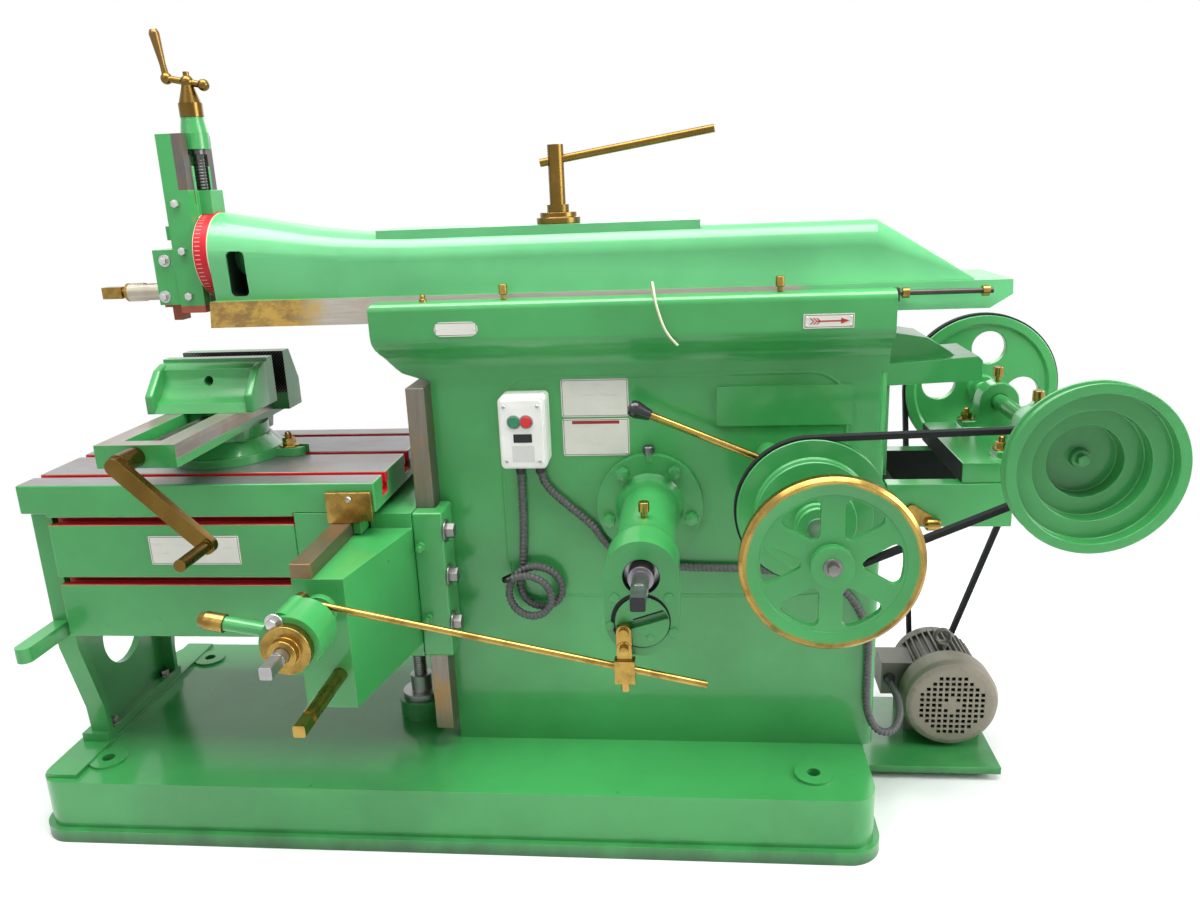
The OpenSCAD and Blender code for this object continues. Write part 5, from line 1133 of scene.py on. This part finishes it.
def plate_material(name, low, high, bar):
    """Printed plate left bare: pale face, thin dark border line, and a plain red bar where one is given."""
    f = Finish(name)
    face = plain(f, paint().plate, 0.34, 0.0, 0.2, 300.0, 0.1)
    scratch = f.step(f.noise(46.0, 5.0, 0.7, (0.3, 1, 2.5)), 0.56, 0.72) * 0.28
    face.colour = f.mix(scratch, face.colour, (0.36, 0.35, 0.31))

    def inside(x0, z0, x1, z1, inset=0.0):
        return (f.between(f.x, (x0 + inset) * MM, (x1 - inset) * MM)
                * f.between(f.z, (z0 + inset) * MM, (z1 - inset) * MM))

    border = inside(*low, *high, 1.6) - inside(*low, *high, 2.5)
    look = f.over(border, face, plain(f, (0.055, 0.05, 0.045), 0.4))
    if bar:
        look = f.over(inside(*bar), look, plain(f, (0.30, 0.02, 0.02), 0.4))
    return f.shade(look, 0.0002)


class SHAPER_OT_plates(bpy.types.Operator):
    """Bare plates with their rivets, and the direction arrow."""
    bl_idname = "shaper.plates"
    bl_label = "Plates"

    def execute(self, context):
        thick = sizes().plate / MM
        for name, body, low, high, face, corner, bar in (
                ("upper_plate", "frame", (218, 715), (328, 778), COLUMN_FACE, 4.0, None),
                ("lower_plate", "frame", (218, 649), (328, 712), COLUMN_FACE, 4.0, (234, 703, 312, 708.5)),
                ("arrow_plate", "frame", (601, 857), (677, 879), CAP_FACE, 1.0, None),
                ("oval_plate", "frame", (26, 858), (96, 881), CAP_FACE, 11.0, None),
                ("table_plate", "table", (-470, 498), (-314, 548), TABLE_FACE, 2.0, None)):
            material = plate_material(f"{name}_print", low, high, bar)
            rows = ((low[1] + high[1]) / 2,) if corner > 10 else (low[1] + 4.5, high[1] - 4.5)
            with new_piece(name, body, "starter_white", material) as bm:
                slab(bm, (low[0], face - thick, low[1]), (high[0], face + 0.4, high[1]), corner)
                for x in (low[0] + 5, high[0] - 5):
                    for z in rows:
                        rivet(bm, (x, face - thick, z), -Y, 0.0034)
        self.arrow(CAP_FACE - thick)
        return {"FINISHED"}

    def arrow(self, face):
        """Feathered arrow that shows which way the ram runs."""
        span = (face + 0.1, face - 0.35)
        mid = 868
        red = moulded("arrow_red", (0.42, 0.035, 0.02), 0.4)
        with new_piece("direction_arrow", "frame", "red_primer", red) as bm:
            outline(bm, [(622, mid - 1), (658, mid - 1), (658, mid + 1), (622, mid + 1)], span)
            outline(bm, [(657, mid - 4.5), (670, mid), (657, mid + 4.5)], span)
            for x in (610, 615, 620):
                for s in (-1, 1):
                    outline(bm, [(x, mid + s * 5), (x + 2, mid + s * 5), (x + 7, mid), (x + 5, mid)], span)


class SHAPER_OT_starter_trim(bpy.types.Operator):
    """Button collars, blank labels and lid screws of the starter, and the conduits' end sleeves."""
    bl_idname = "shaper.starter_trim"
    bl_label = "Starter trim"

    def execute(self, context):
        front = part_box("starter_box")[0][1] / MM
        grey = moulded("starter_collar_plastic", (0.30, 0.30, 0.29), 0.4)
        with new_piece("button_collars", "frame", "starter_white", grey) as bm:
            for node in ("start_button", "stop_button"):
                low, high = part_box(node)
                mid = (Vector(low) + Vector(high)) / (2 * MM)
                r = (high[0] - low[0]) / (2 * MM)
                turned(bm, [(r + 0.4, -0.4), (r + 2.6, -0.4), (r + 2.2, 1.4), (r + 0.7, 1.6)],
                       aim((mid.x, front, mid.z), -Y), 40, ring=True)
        black = moulded("label_black", (0.016, 0.016, 0.017), 0.35)
        with new_piece("starter_label", "frame", "belt_black", black) as bm:
            slab(bm, (146, front - 0.5, 688), (176, front + 0.3, 702), 1.0)
        pale = moulded("label_grey", (0.62, 0.62, 0.60), 0.4)
        with new_piece("starter_notice", "frame", "starter_white", pale) as bm:
            slab(bm, (143, front - 0.4, 656), (179, front + 0.3, 683), 1.0)
        with new_piece("starter_screws", "frame", "bright_steel", simple("screw_steel", steel)) as bm:
            for x, z in ((187, 747), (133, 747), (187, 657), (133, 657)):
                slotted_screw(bm, (x, front, z), -Y, 0.006)
        dark = moulded("sleeve_plastic", (0.03, 0.031, 0.033), 0.4)
        with new_piece("conduit_sleeves", "frame", "conduit_dark", dark) as bm:
            sleeve = [(7.05, -1), (7.95, -1), (7.95, 14), (7.5, 20), (7.05, 20)]
            for x, z in (SUPPLY[0], MOTOR_RUN[0]):
                turned(bm, sleeve, aim((x, CONDUIT_Y, z), -Z), 32, ring=True)
            gland = [(7.05, -1), (11, -1), (11, 5), (9.4, 6), (9.4, 14), (7.6, 22), (7.05, 22)]
            turned(bm, gland, aim(MOTOR_ENTRY[-1], -Y), 32, ring=True)
        return {"FINISHED"}


class SHAPER_OT_coil_tie(bpy.types.Operator):
    """Black tie round the coil's turns."""
    bl_idname = "shaper.coil_tie"
    bl_label = "Coil tie"

    def execute(self, context):
        foot = 439.5
        far, near = Vector((136.4, CONDUIT_Y, foot)), Vector((115.3, -131.6, foot))
        way = near - far
        black = moulded("tie_plastic", paint().rubber, 0.4)
        with new_piece("coil_tie", "frame", "belt_black", black) as bm:
            loop = bmesh.ops.create_circle(bm, segments=40, radius=7.5 * MM)["verts"]
            for v in loop:
                v.co += (near if v.co.dot(way) > 0 else far) * MM
            made = bmesh.ops.extrude_edge_only(bm, edges=bm.edges)
            rise = [v for v in made["geom"] if isinstance(v, bmesh.types.BMVert)]
            bmesh.ops.translate(bm, verts=rise, vec=Z * 6 * MM)
            bmesh.ops.recalc_face_normals(bm, faces=bm.faces)
            bmesh.ops.solidify(bm, geom=bm.faces[:], thickness=-1.2 * MM)
        return {"FINISHED"}


class SHAPER_PT_panel(bpy.types.Panel):
    """Lists the shaper's pieces and their settings."""
    bl_label = "Shaper"
    bl_idname = "SHAPER_PT_panel"
    bl_space_type = "VIEW_3D"
    bl_region_type = "UI"
    bl_category = "Shaper"

    def draw(self, context):
        for operator in OPERATORS:
            self.layout.operator(operator.bl_idname)
        for group in (getattr(context.scene, name) for name in GROUPS):
            for name in group.bl_rna.properties.keys():
                if name not in ("name", "rna_type"):
                    self.layout.prop(group, name)


OPERATORS = (
    SHAPER_OT_camera, SHAPER_OT_supply_conduit, SHAPER_OT_oil_tube, SHAPER_OT_motor_conduit,
    SHAPER_OT_stage, SHAPER_OT_solids, SHAPER_OT_bolts, SHAPER_OT_fittings, SHAPER_OT_ram_neck,
    SHAPER_OT_threads, SHAPER_OT_plates, SHAPER_OT_starter_trim, SHAPER_OT_coil_tie,
)
GROUPS = {"shaper_paint": ShaperPaint, "shaper_sizes": ShaperSizes, "shaper_stage": ShaperStage}


def register():
    for group in GROUPS.values():
        bpy.utils.register_class(group)
    for name, group in GROUPS.items():
        setattr(bpy.types.Scene, name, bpy.props.PointerProperty(type=group))
    for operator in OPERATORS:
        bpy.utils.register_class(operator)
    bpy.utils.register_class(SHAPER_PT_panel)


def unregister():
    bpy.utils.unregister_class(SHAPER_PT_panel)
    for operator in reversed(OPERATORS):
        bpy.utils.unregister_class(operator)
    for name, group in GROUPS.items():
        delattr(bpy.types.Scene, name)
        bpy.utils.unregister_class(group)


def main():
    register()
    for operator in OPERATORS:
        family, name = operator.bl_idname.split(".")
        getattr(getattr(bpy.ops, family), name)()


if __name__ == "__main__":
    main()
